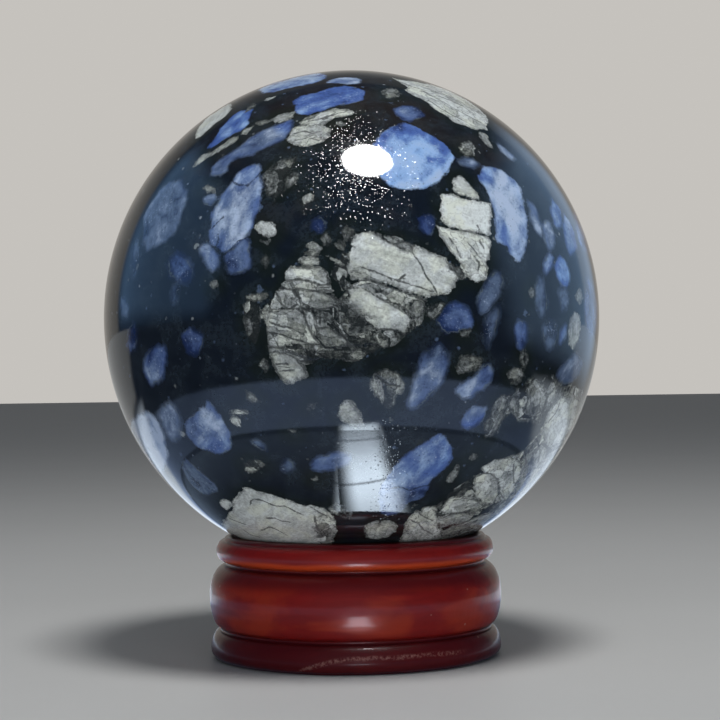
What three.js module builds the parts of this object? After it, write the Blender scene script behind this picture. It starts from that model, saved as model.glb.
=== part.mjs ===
// A polished stone ball resting on a turned and varnished wooden ring stand.
//
// Units are millimetres and +Z is up. The origin is on the surface that the stand
// stands on, at the middle of the ring. Both pieces are round about Z. The ball lies
// loose in the dished top of the ring and lifts off.
import * as THREE from "three";

// The ball
const BALL_DIAMETER = 70;
const BALL_CENTRE_HEIGHT = 47.6;

// The stand's outside, from the surface up: a foot, a barrel and a lip, each a bead
// that swells between two narrow grooves
const FOOT_RADIUS = 20.5;
const BARREL_RADIUS = 20.6;
const LIP_RADIUS = 19.6;
const LOWER_GROOVE = { radius: 19.15, height: 4.2, width: 0.5 };
const UPPER_GROOVE = { radius: 18.3, height: 13.3, width: 0.5 };
const FOOT_WIDEST_HEIGHT = 1.15;
const FOOT_BASE_RADIUS = 19.8;

// The stand's inside: a rounded crest, a dish that follows the ball at a small gap,
// a narrow land below it and an open bore with a relieved lower edge
const CREST_RADIUS = 0.45;
const CREST_ARC = 0.6 * Math.PI; // from pointing outwards, over the top and a little inwards
const CREST_CENTRE = { radius: 18.05, height: 16.55 };
const SEAT_GAP = 0.3; // between the ball and the dish, measured towards the ball's centre
const SEAT_OUTER_RADIUS = 17.45;
const SEAT_INNER_RADIUS = 13.5;
const BORE_RADIUS = 12.5;
const BORE_TOP_DROP = 1.4; // from the dish's inner edge down to the straight bore
const BORE_EDGE_BREAK = 0.8; // slope on the bore's lower edge

// How finely the round forms are divided
const TURN_SEGMENTS = 60;
const BALL_RINGS = 30;
const BARREL_STEPS = 8;
const LIP_STEPS = 4;
const FOOT_STEPS = 4;
const CREST_STEPS = 3;
const SEAT_STEPS = 4;

const stone = new THREE.MeshStandardMaterial({ color: 0x14181f, roughness: 0.08, metalness: 0 });
const varnishedWood = new THREE.MeshStandardMaterial({ color: 0x6b1712, roughness: 0.2, metalness: 0 });

// A quarter of an oval from `from` to `to`, both (radius, height) pairs. It leaves
// `from` square to the axis or along it, and arrives the other way round.
function ovalQuarter(from, to, steps, leavesOutwards) {
  const points = [];
  for (let i = 1; i <= steps; i++) {
    const t = ((i / steps) * Math.PI) / 2;
    const [across, along] = leavesOutwards
      ? [Math.sin(t), 1 - Math.cos(t)]
      : [1 - Math.cos(t), Math.sin(t)];
    points.push(
      new THREE.Vector2(from.x + (to.x - from.x) * across, from.y + (to.y - from.y) * along),
    );
  }
  return points;
}

// A bead swells from its lower end to its widest place and shrinks to its upper end.
function bead(lower, widest, upper, steps) {
  return [
    lower,
    ...ovalQuarter(lower, widest, steps, true),
    ...ovalQuarter(widest, upper, steps, false),
  ];
}

// The dish's height at a radius: it is part of a sphere about the ball's centre, the
// seat gap larger than the ball.
function dishHeight(radius) {
  const reach = BALL_DIAMETER / 2 + SEAT_GAP;
  return BALL_CENTRE_HEIGHT - Math.sqrt(reach ** 2 - radius ** 2);
}

// Points down the dish, from the outer radius to the inner one.
function dish(outerRadius, innerRadius, steps) {
  const points = [];
  for (let i = 0; i <= steps; i++) {
    const radius = outerRadius + ((innerRadius - outerRadius) * i) / steps;
    points.push(new THREE.Vector2(radius, dishHeight(radius)));
  }
  return points;
}

// The rounded top edge, from the outside over to the dish.
function crest(steps) {
  const points = [];
  for (let i = 0; i <= steps; i++) {
    const angle = (i / steps) * CREST_ARC;
    points.push(
      new THREE.Vector2(
        CREST_CENTRE.radius + CREST_RADIUS * Math.cos(angle),
        CREST_CENTRE.height + CREST_RADIUS * Math.sin(angle),
      ),
    );
  }
  return points;
}

// The stand's whole outline in (radius, height), up the outside and down the inside.
function standOutline() {
  const lowerBottom = LOWER_GROOVE.height - LOWER_GROOVE.width / 2;
  const lowerTop = LOWER_GROOVE.height + LOWER_GROOVE.width / 2;
  const upperBottom = UPPER_GROOVE.height - UPPER_GROOVE.width / 2;
  const upperTop = UPPER_GROOVE.height + UPPER_GROOVE.width / 2;
  const top = crest(CREST_STEPS);
  return [
    ...bead(
      new THREE.Vector2(FOOT_BASE_RADIUS, 0),
      new THREE.Vector2(FOOT_RADIUS, FOOT_WIDEST_HEIGHT),
      new THREE.Vector2(LOWER_GROOVE.radius, lowerBottom),
      FOOT_STEPS,
    ),
    ...bead(
      new THREE.Vector2(LOWER_GROOVE.radius, lowerTop),
      new THREE.Vector2(BARREL_RADIUS, (lowerTop + upperBottom) / 2),
      new THREE.Vector2(UPPER_GROOVE.radius, upperBottom),
      BARREL_STEPS,
    ),
    ...bead(
      new THREE.Vector2(UPPER_GROOVE.radius, upperTop),
      new THREE.Vector2(LIP_RADIUS, (upperTop + CREST_CENTRE.height) / 2),
      top[0],
      LIP_STEPS,
    ),
    ...top.slice(1),
    ...dish(SEAT_OUTER_RADIUS, SEAT_INNER_RADIUS, SEAT_STEPS),
    new THREE.Vector2(BORE_RADIUS, dishHeight(SEAT_INNER_RADIUS) - BORE_TOP_DROP),
    new THREE.Vector2(BORE_RADIUS, BORE_EDGE_BREAK),
    new THREE.Vector2(BORE_RADIUS + BORE_EDGE_BREAK, 0),
    new THREE.Vector2(FOOT_BASE_RADIUS, 0),
  ];
}

function makeBall() {
  const geometry = new THREE.SphereGeometry(BALL_DIAMETER / 2, TURN_SEGMENTS, BALL_RINGS);
  const ball = new THREE.Mesh(geometry, stone);
  ball.name = "stone_ball";
  ball.rotation.x = Math.PI / 2;
  ball.position.z = BALL_CENTRE_HEIGHT;
  return ball;
}

function makeStand() {
  const geometry = new THREE.LatheGeometry(standOutline(), TURN_SEGMENTS);
  const stand = new THREE.Mesh(geometry, varnishedWood);
  stand.name = "ring_stand";
  stand.rotation.x = Math.PI / 2;
  return stand;
}

const ornament = new THREE.Group();
ornament.add(makeBall(), makeStand());

export default ornament;
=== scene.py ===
"""Dresses a polished stone ball and the turned, lacquered ring stand that it lies on.

The ball is near-black stone with soft-edged blue crystals and broken blocks of grey
feldspar in it, all ground to one glossy sphere. Its crystals are outlines drawn on the
sphere, and each vertex knows how far it is from the nearest one. The stand is a wooden
ring with a foot, a barrel and a lip, under a deep red gloss lacquer that is worn at the
foot. The file is laid out as an add-on: settings, one operator for each piece and for
the stage, and a panel that lists them.
"""

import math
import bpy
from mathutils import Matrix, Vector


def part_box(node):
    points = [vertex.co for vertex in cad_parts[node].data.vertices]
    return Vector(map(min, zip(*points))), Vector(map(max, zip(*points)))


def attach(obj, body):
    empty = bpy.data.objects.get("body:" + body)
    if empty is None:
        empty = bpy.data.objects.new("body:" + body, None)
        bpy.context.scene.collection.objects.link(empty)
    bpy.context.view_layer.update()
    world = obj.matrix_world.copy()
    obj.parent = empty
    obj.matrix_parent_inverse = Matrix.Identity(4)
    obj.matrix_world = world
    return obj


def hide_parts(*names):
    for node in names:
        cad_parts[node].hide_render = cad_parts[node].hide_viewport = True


bl_info = {
    "name": "Stone Ball on a Ring Stand",
    "version": (1, 0, 0),
    "blender": (4, 5, 0),
    "location": "3D View > Sidebar > Stone Ball",
    "description": "Builds a polished stone ball, its turned ring stand and a plain stage",
    "category": "Add Mesh",
}

import bpy
import numpy as np
from bpy.props import FloatProperty, FloatVectorProperty, IntProperty, PointerProperty
from mathutils import Matrix, Quaternion, Vector

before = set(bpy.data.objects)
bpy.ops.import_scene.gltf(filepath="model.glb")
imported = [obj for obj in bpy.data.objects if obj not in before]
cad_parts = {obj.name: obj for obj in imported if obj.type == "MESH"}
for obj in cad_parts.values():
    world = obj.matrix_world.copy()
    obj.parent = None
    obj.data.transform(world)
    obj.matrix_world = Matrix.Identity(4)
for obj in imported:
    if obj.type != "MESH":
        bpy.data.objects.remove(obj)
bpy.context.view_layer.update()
BALL_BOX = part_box("stone_ball")
STAND_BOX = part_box("ring_stand")
MM = 0.001
PHOTO_SIZE = 720  # the frame's side, in pixels
SENSOR_WIDTH = 36.0  # of the camera, in millimetres


# Crystals of the side that the photograph shows. Each entry is a crystal's sort, its
# tone from dark 0 to pale 1, how soft its edge is in millimetres, and its outline in
# pixels of the photograph's frame. An outline may run past the ball's own outline, and
# a crystal covers those listed before it.
SEEN_CRYSTALS = {
    "rubble bed left": ("rubble", 0.30, 0.0, """
        286,272 288,283 277,292 270,302 262,311 264,322 267,334 268,346 271,358 276,370 283,381 291,384
        300,378 307,376 304,364 312,361 322,357 337,357 348,361 357,359 366,355 366,346 352,338 344,326
        338,312 336,300 330,290 328,276 318,267 300,266"""),
    "rubble bed middle": ("rubble", 0.18, 0.0, """
        338,262 344,252 350,258 349,268 346,280 352,284 364,279 380,283 400,291 418,297 426,300 425,312
        421,322 412,328 404,336 396,343 388,347 378,349 366,354 354,348 346,338 338,328 333,316 334,304
        338,300 346,292 340,284 332,276"""),
    "rubble bed low right": ("rubble", 0.36, 0.0, """
        399,544 404,532 408,522 415,511 424,507 437,506 445,500 451,492 458,486 468,480 478,475 483,466
        495,460 508,457 515,455 524,450 531,442 539,435 543,425 546,416 554,409 558,400 562,388 570,384
        584,392 582,424 562,466 532,502 498,526 458,548 428,556 404,556"""),
    "rubble wisps right": ("rubble", 0.26, 0.5, """
        484,425 490,410 500,396 512,392 522,388 530,380 540,376 552,376 560,384 556,398 547,410 541,424
        530,420 520,420 508,412 500,424 494,436 486,438"""),
    "blue by the glint": ("azure", 0.80, 0.12, """
        372,150 378,136 387,129 396,124 407,124 415,126 422,130 430,135 437,139 444,144 450,151 455,157
        451,165 445,175 439,181 430,186 421,189 411,189 399,188 390,185 382,180 374,168"""),
    "blue top centre": ("azure", 0.50, 0.12, """
        293,100 300,96 312,94 327,89 345,86 355,87 366,92 365,97 360,102 346,104 334,106 324,110 315,113
        305,115 296,114 295,106"""),
    "blue crown left": ("blue", 0.82, 0.30, """
        258,90 270,84 285,80 300,76 317,73 326,75 325,80 311,84 299,86 285,89 275,92 264,93"""),
    "mauve crown sliver": ("lilac", 0.78, 0.25, "324,84 334,79 349,77 361,79 359,84 346,84 334,83"),
    "blue upper left": ("azure", 0.54, 0.15, """
        207,148 214,140 221,128 230,118 239,111 250,109 254,109 249,117 248,125 242,130 234,134 226,139
        217,145 210,149"""),
    "blue long upper left": ("lilac", 0.42, 0.35, """
        210,176 211,169 217,162 227,156 234,150 240,147 244,142 250,137 260,132 270,127 280,124 291,120
        293,125 290,132 285,139 272,145 260,151 250,155 237,158 230,162 227,172 220,176 214,177"""),
    "blue tall left": ("lilac", 0.58, 0.20, """
        232,181 234,177 240,171 247,166 255,164 260,165 261,171 260,180 262,185 261,198 259,208 255,219
        251,230 245,239 238,244 230,250 222,253 217,248 211,245 208,234 211,222 213,212 219,200 224,191
        230,185"""),
    "blue tall left foot": ("lilac", 0.46, 0.40, """
        224,254 231,250 240,241 246,238 250,245 251,260 249,267 240,273 230,273 225,265"""),
    "blue left lobe": ("lilac", 0.54, 0.45, """
        199,247 205,242 210,244 216,250 220,260 219,267 214,272 208,267 202,257"""),
    "blue far left": ("slate", 0.40, 0.45, """
        144,215 150,204 156,196 162,188 170,182 180,180 186,186 188,196 184,210 180,222 176,232 168,240
        158,246 150,250 144,248 143,234"""),
    "blue faint left": ("blue", 0.24, 1.10, """
        168,262 176,253 186,258 192,268 192,278 186,284 178,280 170,274"""),
    "blue deep left": ("blue", 0.26, 0.45, """
        181,336 186,329 196,329 203,336 203,346 199,355 192,357 185,350"""),
    "blue limb left": ("blue", 0.44, 0.70, """
        143,362 148,352 156,346 165,346 167,360 164,374 158,383 150,385 145,376"""),
    "blue streak left": ("slate", 0.22, 0.90, "132,246 138,240 141,252 138,268 134,280 131,262"),
    "blue sliver left": ("slate", 0.38, 0.70, "120,300 125,294 129,306 128,318 122,317"),
    "indigo limb left": ("blue", 0.14, 0.80, "127,332 134,322 138,332 136,348 130,354 126,344"),
    "blue streak mid left": ("slate", 0.38, 0.90, "172,286 178,284 177,300 172,304"),
    "blue round low left": ("lilac", 0.52, 0.22, """
        185,430 188,418 196,412 204,407 209,401 214,408 220,416 226,424 231,434 232,446 226,453 216,454
        204,450 194,444 188,438"""),
    "slate low left": ("slate", 0.36, 0.25, """
        182,461 187,459 196,468 206,476 216,485 218,492 206,495 196,490 188,480 183,470"""),
    "blue dot low left": ("slate", 0.30, 0.50, "281,464 286,459 293,461 295,468 290,473 283,472"),
    "blue low middle": ("lilac", 0.48, 0.45, """
        310,465 316,458 326,455 336,452 346,452 352,458 348,466 336,469 322,471 313,470"""),
    "blue big low": ("blue", 0.54, 0.15, """
        437,434 445,436 450,444 453,450 451,460 447,465 441,472 432,478 429,484 425,492 420,498 411,501
        404,509 397,514 388,516 380,512 378,500 380,490 385,479 392,468 401,459 411,451 422,444 430,439"""),
    "blue mid right": ("lilac", 0.42, 0.60, """
        408,400 412,388 416,376 419,366 424,354 432,346 440,344 447,352 449,362 446,374 440,384 432,394
        424,402 416,408 410,408"""),
    "blue grey right": ("lilac", 0.56, 0.45, """
        455,392 460,385 466,380 474,377 482,368 490,364 494,372 490,382 482,390 472,396 462,399"""),
    "blue small right": ("lilac", 0.42, 0.25, """
        460,421 464,414 470,409 479,406 487,405 487,411 485,419 477,426 467,430 461,429"""),
    "indigo middle right": ("blue", 0.24, 0.35, """
        437,320 441,312 447,306 455,302 463,303 470,309 475,320 470,329 460,333 448,334 440,329"""),
    "slate middle right": ("slate", 0.32, 0.45, """
        477,300 482,290 488,279 493,271 500,272 504,280 500,292 494,302 486,312 479,313"""),
    "slate faint right": ("slate", 0.26, 0.90, "484,322 492,311 500,305 498,322 494,336 488,348 484,340"),
    "blue tall right": ("lilac", 0.80, 0.15, """
        479,178 480,169 486,166 497,168 506,174 514,180 519,185 522,195 525,205 527,220 527,232 526,245
        524,255 520,261 514,259 510,254 507,246 502,245 497,241 496,230 495,217 492,203 487,192 484,186"""),
    "violet small top": ("blue", 0.28, 0.25, """
        394,112 396,107 404,105 414,107 422,112 425,116 418,120 408,121 398,118"""),
    "blue dark small": ("blue", 0.26, 0.25, """
        416,218 422,215 434,214 436,222 434,232 430,236 424,233 420,226"""),
    "blue faint middle": ("blue", 0.10, 0.45, "311,228 312,220 320,217 325,222 324,232 318,234"),
    "blue bright limb right": ("azure", 0.62, 0.45, """
        554,264 560,255 566,262 570,274 569,286 563,290 558,280 555,270"""),
    "blue pale limb right": ("blue", 0.52, 0.60, "543,264 548,254 554,256 552,266 548,275 544,271"),
    "blue thin right": ("blue", 0.34, 0.50, "514,326 518,320 526,322 529,334 525,345 520,351 516,341"),
    "streak right one": ("slate", 0.62, 0.60, "528,200 535,206 540,220 542,236 536,232 530,218"),
    "streak right two": ("slate", 0.58, 0.50, "542,222 550,220 554,232 555,246 550,252 545,244"),
    "streak right three": ("blue", 0.52, 0.50, "551,198 558,205 563,216 560,229 554,227 551,214"),
    "streak right four": ("blue", 0.48, 0.55, "563,212 570,222 576,236 577,250 570,257 566,244 563,230"),
    "streak right five": ("blue", 0.36, 0.60, "572,208 582,222 590,240 592,256 583,252 577,236"),
    "streak right six": ("slate", 0.28, 0.90, "536,282 541,275 546,290 548,306 542,319 537,308 535,294"),
    "streak right seven": ("slate", 0.36, 0.80, "558,290 566,286 569,298 566,311 561,309"),
    "streak right eight": ("blue", 0.22, 0.80, "586,274 594,288 598,312 596,334 588,342 585,322 584,300"),
    "streak right nine": ("slate", 0.26, 0.90, "543,328 551,318 558,330 556,344 549,351 544,341"),
    "streak right ten": ("blue", 0.56, 0.70, "560,331 567,322 566,337 560,345"),
    "slate limb right": ("slate", 0.44, 0.80, "556,374 566,359 578,353 584,362 578,377 568,385 560,383"),
    "slate upper right": ("slate", 0.56, 0.50, "497,143 503,146 511,153 516,159 509,159 502,153"),
    # Partly painted reflection: this palest crystal on the lower left limb also stands for bright
    # surroundings mirrored there.
    "pale lavender limb and painted reflection": ("slate", 1.00, 0.60, """
        130,424 139,414 148,411 156,420 163,432 166,446 168,458 164,472 156,470 148,462 138,448 130,436"""),
    "slate low limb": ("slate", 0.50, 1.00, """
        160,410 168,402 178,410 182,424 178,440 170,440 164,428 160,418"""),
    "big middle block": ("block", 0.83, 0.0, """
        349,262 349,255 352,242 357,235 364,232 372,233 378,237 386,241 395,246 404,251 411,252 415,246
        424,249 434,254 445,259 448,263 449,269 455,272 458,278 455,285 448,292 440,295 430,296 418,295
        405,290 393,286 381,282 370,277 362,280 352,280 347,272"""),
    "middle underside": ("rubble", 0.39, 0.0, """
        346,281 352,284 362,280 371,281 385,286 400,291 415,297 426,300 420,304 412,311 398,307 382,299
        366,290 354,287 347,288"""),
    "wedge": ("block", 0.60, 0.0, """
        347,289 352,288 365,289 380,299 395,307 408,315 411,320 408,326 404,334 400,331 392,329 380,331
        375,328 366,334 356,336 346,332 340,322 338,312 340,304 346,300 350,296"""),
    "chip under wedge": ("broken", 0.30, 0.0, "374,334 380,332 388,338 388,345 384,348 378,344"),
    "rubble right of wedge": ("rubble", 0.15, 0.0, """
        403,306 412,301 420,299 425,306 424,316 420,326 412,328 414,318 408,312"""),
    "broken top": ("broken", 0.70, 0.0, """
        286,272 290,268 300,268 312,269 322,268 327,273 328,284 320,285 312,281 300,279 290,280 286,280"""),
    "broken second": ("broken", 0.74, 0.0, """
        283,285 290,281 300,280 312,282 320,286 329,285 333,291 322,291 310,290 296,288 286,290"""),
    "broken left": ("broken", 0.70, 0.0, "276,292 284,289 292,290 298,297 303,306 296,309 284,307 278,300"),
    "broken middle": ("broken", 0.60, 0.0, """
        297,290 310,291 322,293 332,298 338,302 334,307 322,309 312,308 302,303"""),
    "broken big": ("broken", 0.62, 0.0, """
        262,312 268,311 274,313 284,309 296,309 302,313 306,322 310,332 315,339 320,344 310,344 296,343
        284,346 274,347 268,344 267,334 265,323"""),
    "broken inner": ("broken", 0.64, 0.0, "305,311 312,312 316,320 317,335 313,337 307,324"),
    "broken right": ("broken", 0.32, 0.0, """
        318,328 328,327 338,333 346,339 348,345 338,347 326,345 319,338"""),
    "broken low": ("broken", 0.38, 0.0, "268,347 280,348 292,351 303,356 306,362 296,362 284,358 270,356"),
    "broken foot": ("block", 0.34, 0.0, """
        270,356 284,353 294,357 300,364 305,371 307,376 299,379 291,384 283,382 277,371"""),
    "rubble foot": ("rubble", 0.08, 0.0, "316,352 330,350 346,353 360,349 368,354 354,361 338,358 324,358"),
    "chip far left": ("broken", 0.66, 0.0, "259,318 264,310 269,313 267,321"),
    "chip low left": ("broken", 0.28, 0.1, "258,366 264,359 269,365 266,372"),
    "cap piece": ("broken", 0.42, 0.0, "299,262 304,257 312,256 322,259 318,264 306,266"),
    "cap crumb": ("block", 0.58, 0.0, "306,246 312,242 319,244 322,249 317,250 310,249"),
    "cap band": ("broken", 0.38, 0.0, "304,253 311,250 320,252 318,255 308,256"),
    "pebble one": ("broken", 0.22, 0.2, "320,239 326,233 331,239 329,246 322,245"),
    "pebble two": ("broken", 0.46, 0.1, "335,243 340,239 346,246 342,250"),
    "pebble three": ("broken", 0.16, 0.1, "342,232 347,225 353,232 350,241 344,240"),
    "shards over the block": ("rubble", 0.38, 0.1, """
        374,232 384,236 396,238 408,243 414,246 412,251 404,249 394,244 384,240"""),
    "chips left of the block": ("rubble", 0.62, 0.0, "326,256 334,258 342,262 344,266 336,263"),
    "end ring": ("broken", 0.34, 0.0, "447,263 453,264 459,268 464,274 462,279 458,276 455,271 449,268"),
    "stack top": ("block", 0.86, 0.0, "454,178 460,175 467,182 475,191 480,199 470,197 459,194 453,190"),
    "stack middle": ("block", 1.00, 0.0, """
        442,195 450,194 460,198 470,200 480,202 490,204 491,214 490,228 489,235 478,232 465,230 455,228
        447,225 442,219 441,208"""),
    "stack foot": ("broken", 0.90, 0.0, """
        436,225 447,229 460,231 472,233 487,237 491,242 490,251 489,258 486,261 487,270 485,278 478,282
        470,280 465,270 455,255 447,245 440,234"""),
    "crown strip": ("broken", 0.96, 0.0, """
        393,78 402,80 417,82 432,85 450,91 465,99 477,107 486,116 487,123 484,126 487,130 475,129 465,126
        455,123 445,115 435,109 424,100 412,95 406,90 410,88 399,82"""),
    "green oval": ("broken", 0.72, 0.0, """
        288,138 292,130 300,126 312,125 324,126 330,130 330,135 324,141 314,145 302,146 294,144 287,141"""),
    "green tail": ("broken", 0.60, 0.0, """
        300,124 303,119 311,116 324,112 336,109 349,109 354,112 351,115 339,116 331,120 324,125 312,125"""),
    "green dot": ("block", 0.36, 0.1, "337,124 340,121 345,124 341,127"),
    "sliver upper left": ("block", 0.64, 0.0, """
        193,167 199,158 210,152 222,145 230,139 238,136 238,139 230,145 221,151 210,156 202,162"""),
    "sliver next": ("block", 0.60, 0.0, "240,135 245,129 253,126 251,130 246,134"),
    "sliver above": ("block", 0.62, 0.0, "272,119 280,115 295,112 292,117 284,121 275,122"),
    "sliver thin": ("block", 0.44, 0.0, "256,123 265,120 272,121 267,124 260,125"),
    "sliver crown": ("block", 0.80, 0.0, "261,102 268,98 276,96 271,100"),
    "sliver high": ("block", 0.26, 0.0, "248,107 254,103 257,105 250,110 246,112"),
    "limb upper left": ("block", 0.90, 0.0, """
        196,138 198,128 207,118 220,109 231,103 231,109 227,115 217,122 208,130 200,137"""),
    "pebble left": ("block", 0.80, 0.0, "256,226 261,220 269,221 275,226 277,231 273,236 266,238 259,233"),
    "pebble left foot": ("block", 0.56, 0.0, "259,239 266,241 270,240 268,244 262,243"),
    "dot upper": ("block", 0.68, 0.1, "303,198 310,192 315,195 313,200 306,203"),
    "haze upper": ("rubble", 0.05, 0.9, """
        264,176 272,168 284,160 296,158 292,168 284,178 284,190 276,198 268,194"""),
    "haze next": ("rubble", 0.15, 0.5, "285,179 292,172 297,176 294,182 288,188"),
    "dim strip": ("rubble", 0.28, 0.3, "244,306 250,300 258,304 260,318 260,332 254,342 248,338 246,324"),
    "dim cap": ("rubble", 0.02, 0.3, "248,297 258,293 267,296 260,301 252,301"),
    "brown block low": ("broken", 0.30, 0.3, """
        371,384 376,374 386,369 398,374 405,384 402,393 394,396 395,404 389,410 382,404 376,397"""),
    "low wedge": ("block", 0.58, 0.15, """
        338,414 340,406 346,401 352,402 358,410 363,420 366,427 350,426 342,422"""),
    "brown block right": ("broken", 0.28, 0.4, "456,366 462,358 472,355 480,360 478,368 468,372 460,372"),
    "brown block far right": ("broken", 0.28, 0.3, "508,373 514,368 522,368 524,376 518,384 510,382"),
    "haze far right": ("rubble", 0.46, 0.4, "520,353 526,350 528,360 524,369 521,362"),
    "low left block": ("block", 0.92, 0.0, """
        240,493 245,488 251,488 257,492 267,494 278,497 290,501 302,505 315,507 323,508 329,512 335,519
        336,528 334,538 328,552 308,556 286,555 264,548 246,541 230,536 222,527 224,521 228,517 232,509
        235,500"""),
    "low chip": ("rubble", 0.14, 0.2, "328,508 336,504 346,506 352,512 350,518 340,516 332,513"),
    "low pale pebble": ("broken", 0.60, 0.0, """
        364,530 369,522 378,521 380,525 386,520 393,520 397,526 394,532 386,537 376,539 367,537"""),
    "right mass foot": ("broken", 0.80, 0.0, """
        399,544 404,532 407,522 415,511 420,514 424,507 436,507 435,515 440,519 437,526 441,530 440,540
        426,546 408,548"""),
    "right mass low": ("broken", 0.82, 0.0, """
        445,504 450,498 458,497 470,497 478,501 484,507 474,508 462,512 450,513 440,512"""),
    "right mass strip": ("broken", 0.64, 0.0, """
        437,519 448,514 462,513 474,515 470,520 458,523 446,525 440,524"""),
    "right mass hem": ("broken", 0.56, 0.0, """
        441,532 452,527 466,522 480,516 490,511 492,517 480,526 464,536 450,541 441,543"""),
    "right mass inner": ("broken", 0.92, 0.0, """
        476,476 485,473 492,474 498,480 498,494 492,504 484,502 476,496 474,486"""),
    "right mass middle": ("broken", 0.94, 0.0, """
        482,467 494,460 508,458 518,460 521,470 518,482 512,492 506,500 500,500 499,484 494,474 484,472"""),
    "right mass upper": ("broken", 0.58, 0.0, """
        522,460 530,452 540,446 546,450 544,462 536,476 526,488 516,494 514,486 520,476"""),
    "right mass pale": ("broken", 0.47, 0.0, """
        543,432 544,420 550,408 560,398 570,394 580,402 578,420 570,436 560,446 551,448 545,442"""),
    "right mass limb": ("broken", 0.48, 0.0, """
        498,505 512,495 526,488 534,480 541,472 546,478 532,496 512,512 498,522"""),
    "right mass limb upper": ("broken", 0.72, 0.0, """
        549,453 558,448 570,442 558,466 546,478 541,470 543,463"""),
    "shard right": ("broken", 0.30, 0.2, """
        484,425 488,414 494,402 502,395 508,400 506,412 500,424 494,434 486,438"""),
    "haze block": ("broken", 0.30, 0.3, "508,404 514,395 519,404 518,416 511,412"),
    "haze block right": ("broken", 0.44, 0.3, """
        527,388 535,380 543,386 547,398 541,411 531,417 525,411 528,400"""),
    "shard upper right": ("broken", 0.45, 0.2, "547,398 556,386 562,383 560,397 552,409 546,409"),
    "pale oval limb right": ("block", 0.60, 0.1, """
        568,331 570,318 574,311 580,316 581,328 578,341 573,349 569,345"""),
    "pale dot low left": ("block", 0.80, 0.0, "230,420 234,415 238,418 241,427 234,425"),
    "smear low left": ("rubble", 0.24, 0.4, "229,414 238,409 247,412 244,418 236,416"),
    "ring low left": ("rubble", 0.42, 0.1, "243,464 250,460 260,461 264,465 260,470 252,472 246,470"),
    "blue smear low left": ("slate", 0.34, 0.60, "251,441 258,440 264,446 268,451 260,449"),
    "chip limb low": ("block", 1.00, 0.0, "220,501 225,500 230,502 232,505 230,509 226,509 221,506"),
    "chip by the lobe": ("block", 0.46, 0.1, "203,188 207,185 213,187 215,192 208,193"),
    "ring by the lobe": ("slate", 0.42, 0.25, "203,198 208,194 214,194 216,200 210,207 204,205"),
    "fleck left": ("broken", 0.14, 0.3, "262,259 266,253 269,260 266,268 263,264"),
    "green pebble right": ("broken", 0.34, 0.3, "425,312 430,306 437,302 444,304 440,314 432,319"),
    "chip right": ("broken", 0.18, 0.2, "459,331 470,329 468,336 461,337"),
    "shards top right": ("rubble", 0.46, 0.2, "460,148 464,143 470,142 474,148 473,155 466,156 461,152"),
    "streak top right": ("block", 0.56, 0.1, "479,133 484,132 488,139 493,148 487,146 482,140"),
    "haze under the shards": ("slate", 0.40, 0.5, "456,160 466,157 476,160 480,166 472,168 460,166"),
    "brown chip top": ("broken", 0.36, 0.2, "381,92 388,88 396,89 401,94 394,98 386,97"),
    "sliver low right": ("rubble", 0.24, 0.1, "446,482 450,473 457,465 460,468 456,476 451,483"),
    "crumb low right": ("block", 0.42, 0.1, "469,457 475,454 477,457 472,460"),
    "crumb low": ("block", 0.40, 0.1, "288,431 292,427 296,431 293,434"),
    "crumb low middle": ("block", 0.36, 0.1, "312,479 316,476 320,479 315,481"),
    "smear low": ("rubble", 0.20, 0.3, "305,409 311,402 316,402 310,411"),
    "smear left": ("rubble", 0.26, 0.4, "246,391 253,395 260,401 254,403 248,398"),
    "streak limb low left": ("block", 0.24, 0.2, "165,470 176,478 186,488 194,498 184,495 173,484"),
    "crumb left": ("block", 0.46, 0.1, "210,284 215,280 218,285 213,288"),
    "crumb far right": ("block", 0.38, 0.1, "529,292 532,285 535,294 531,299"),
    "crumb limb right": ("block", 0.50, 0.1, "575,297 580,289 583,298 580,304"),
    "dark pore": ("pore", 0.0, 0.0, "335,293 338,289 343,289 345,293 342,296 337,297"),
    "dark pocket": ("pore", 0.0, 0.0, "478,510 484,508 491,509 488,513 481,514"),
    "dark pocket left": ("pore", 0.0, 0.0, "362,344 368,342 374,345 370,348 363,348"),
}


# Sorts of crystal: the kind, a number for how pure its blue is or how broken its
# feldspar is, and how often its corners are cut. A pore bares the dark stone.
CRYSTAL_SORTS = {
    "azure": ("blue", 0.95, 1),
    "blue": ("blue", 0.55, 1),
    "lilac": ("blue", 0.28, 1),
    "slate": ("blue", 0.05, 1),
    "block": ("grey", 0.10, 0),
    "broken": ("grey", 0.45, 0),
    "rubble": ("grey", 1.00, 0),
    "pore": (None, 0.0, 1),
}


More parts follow.
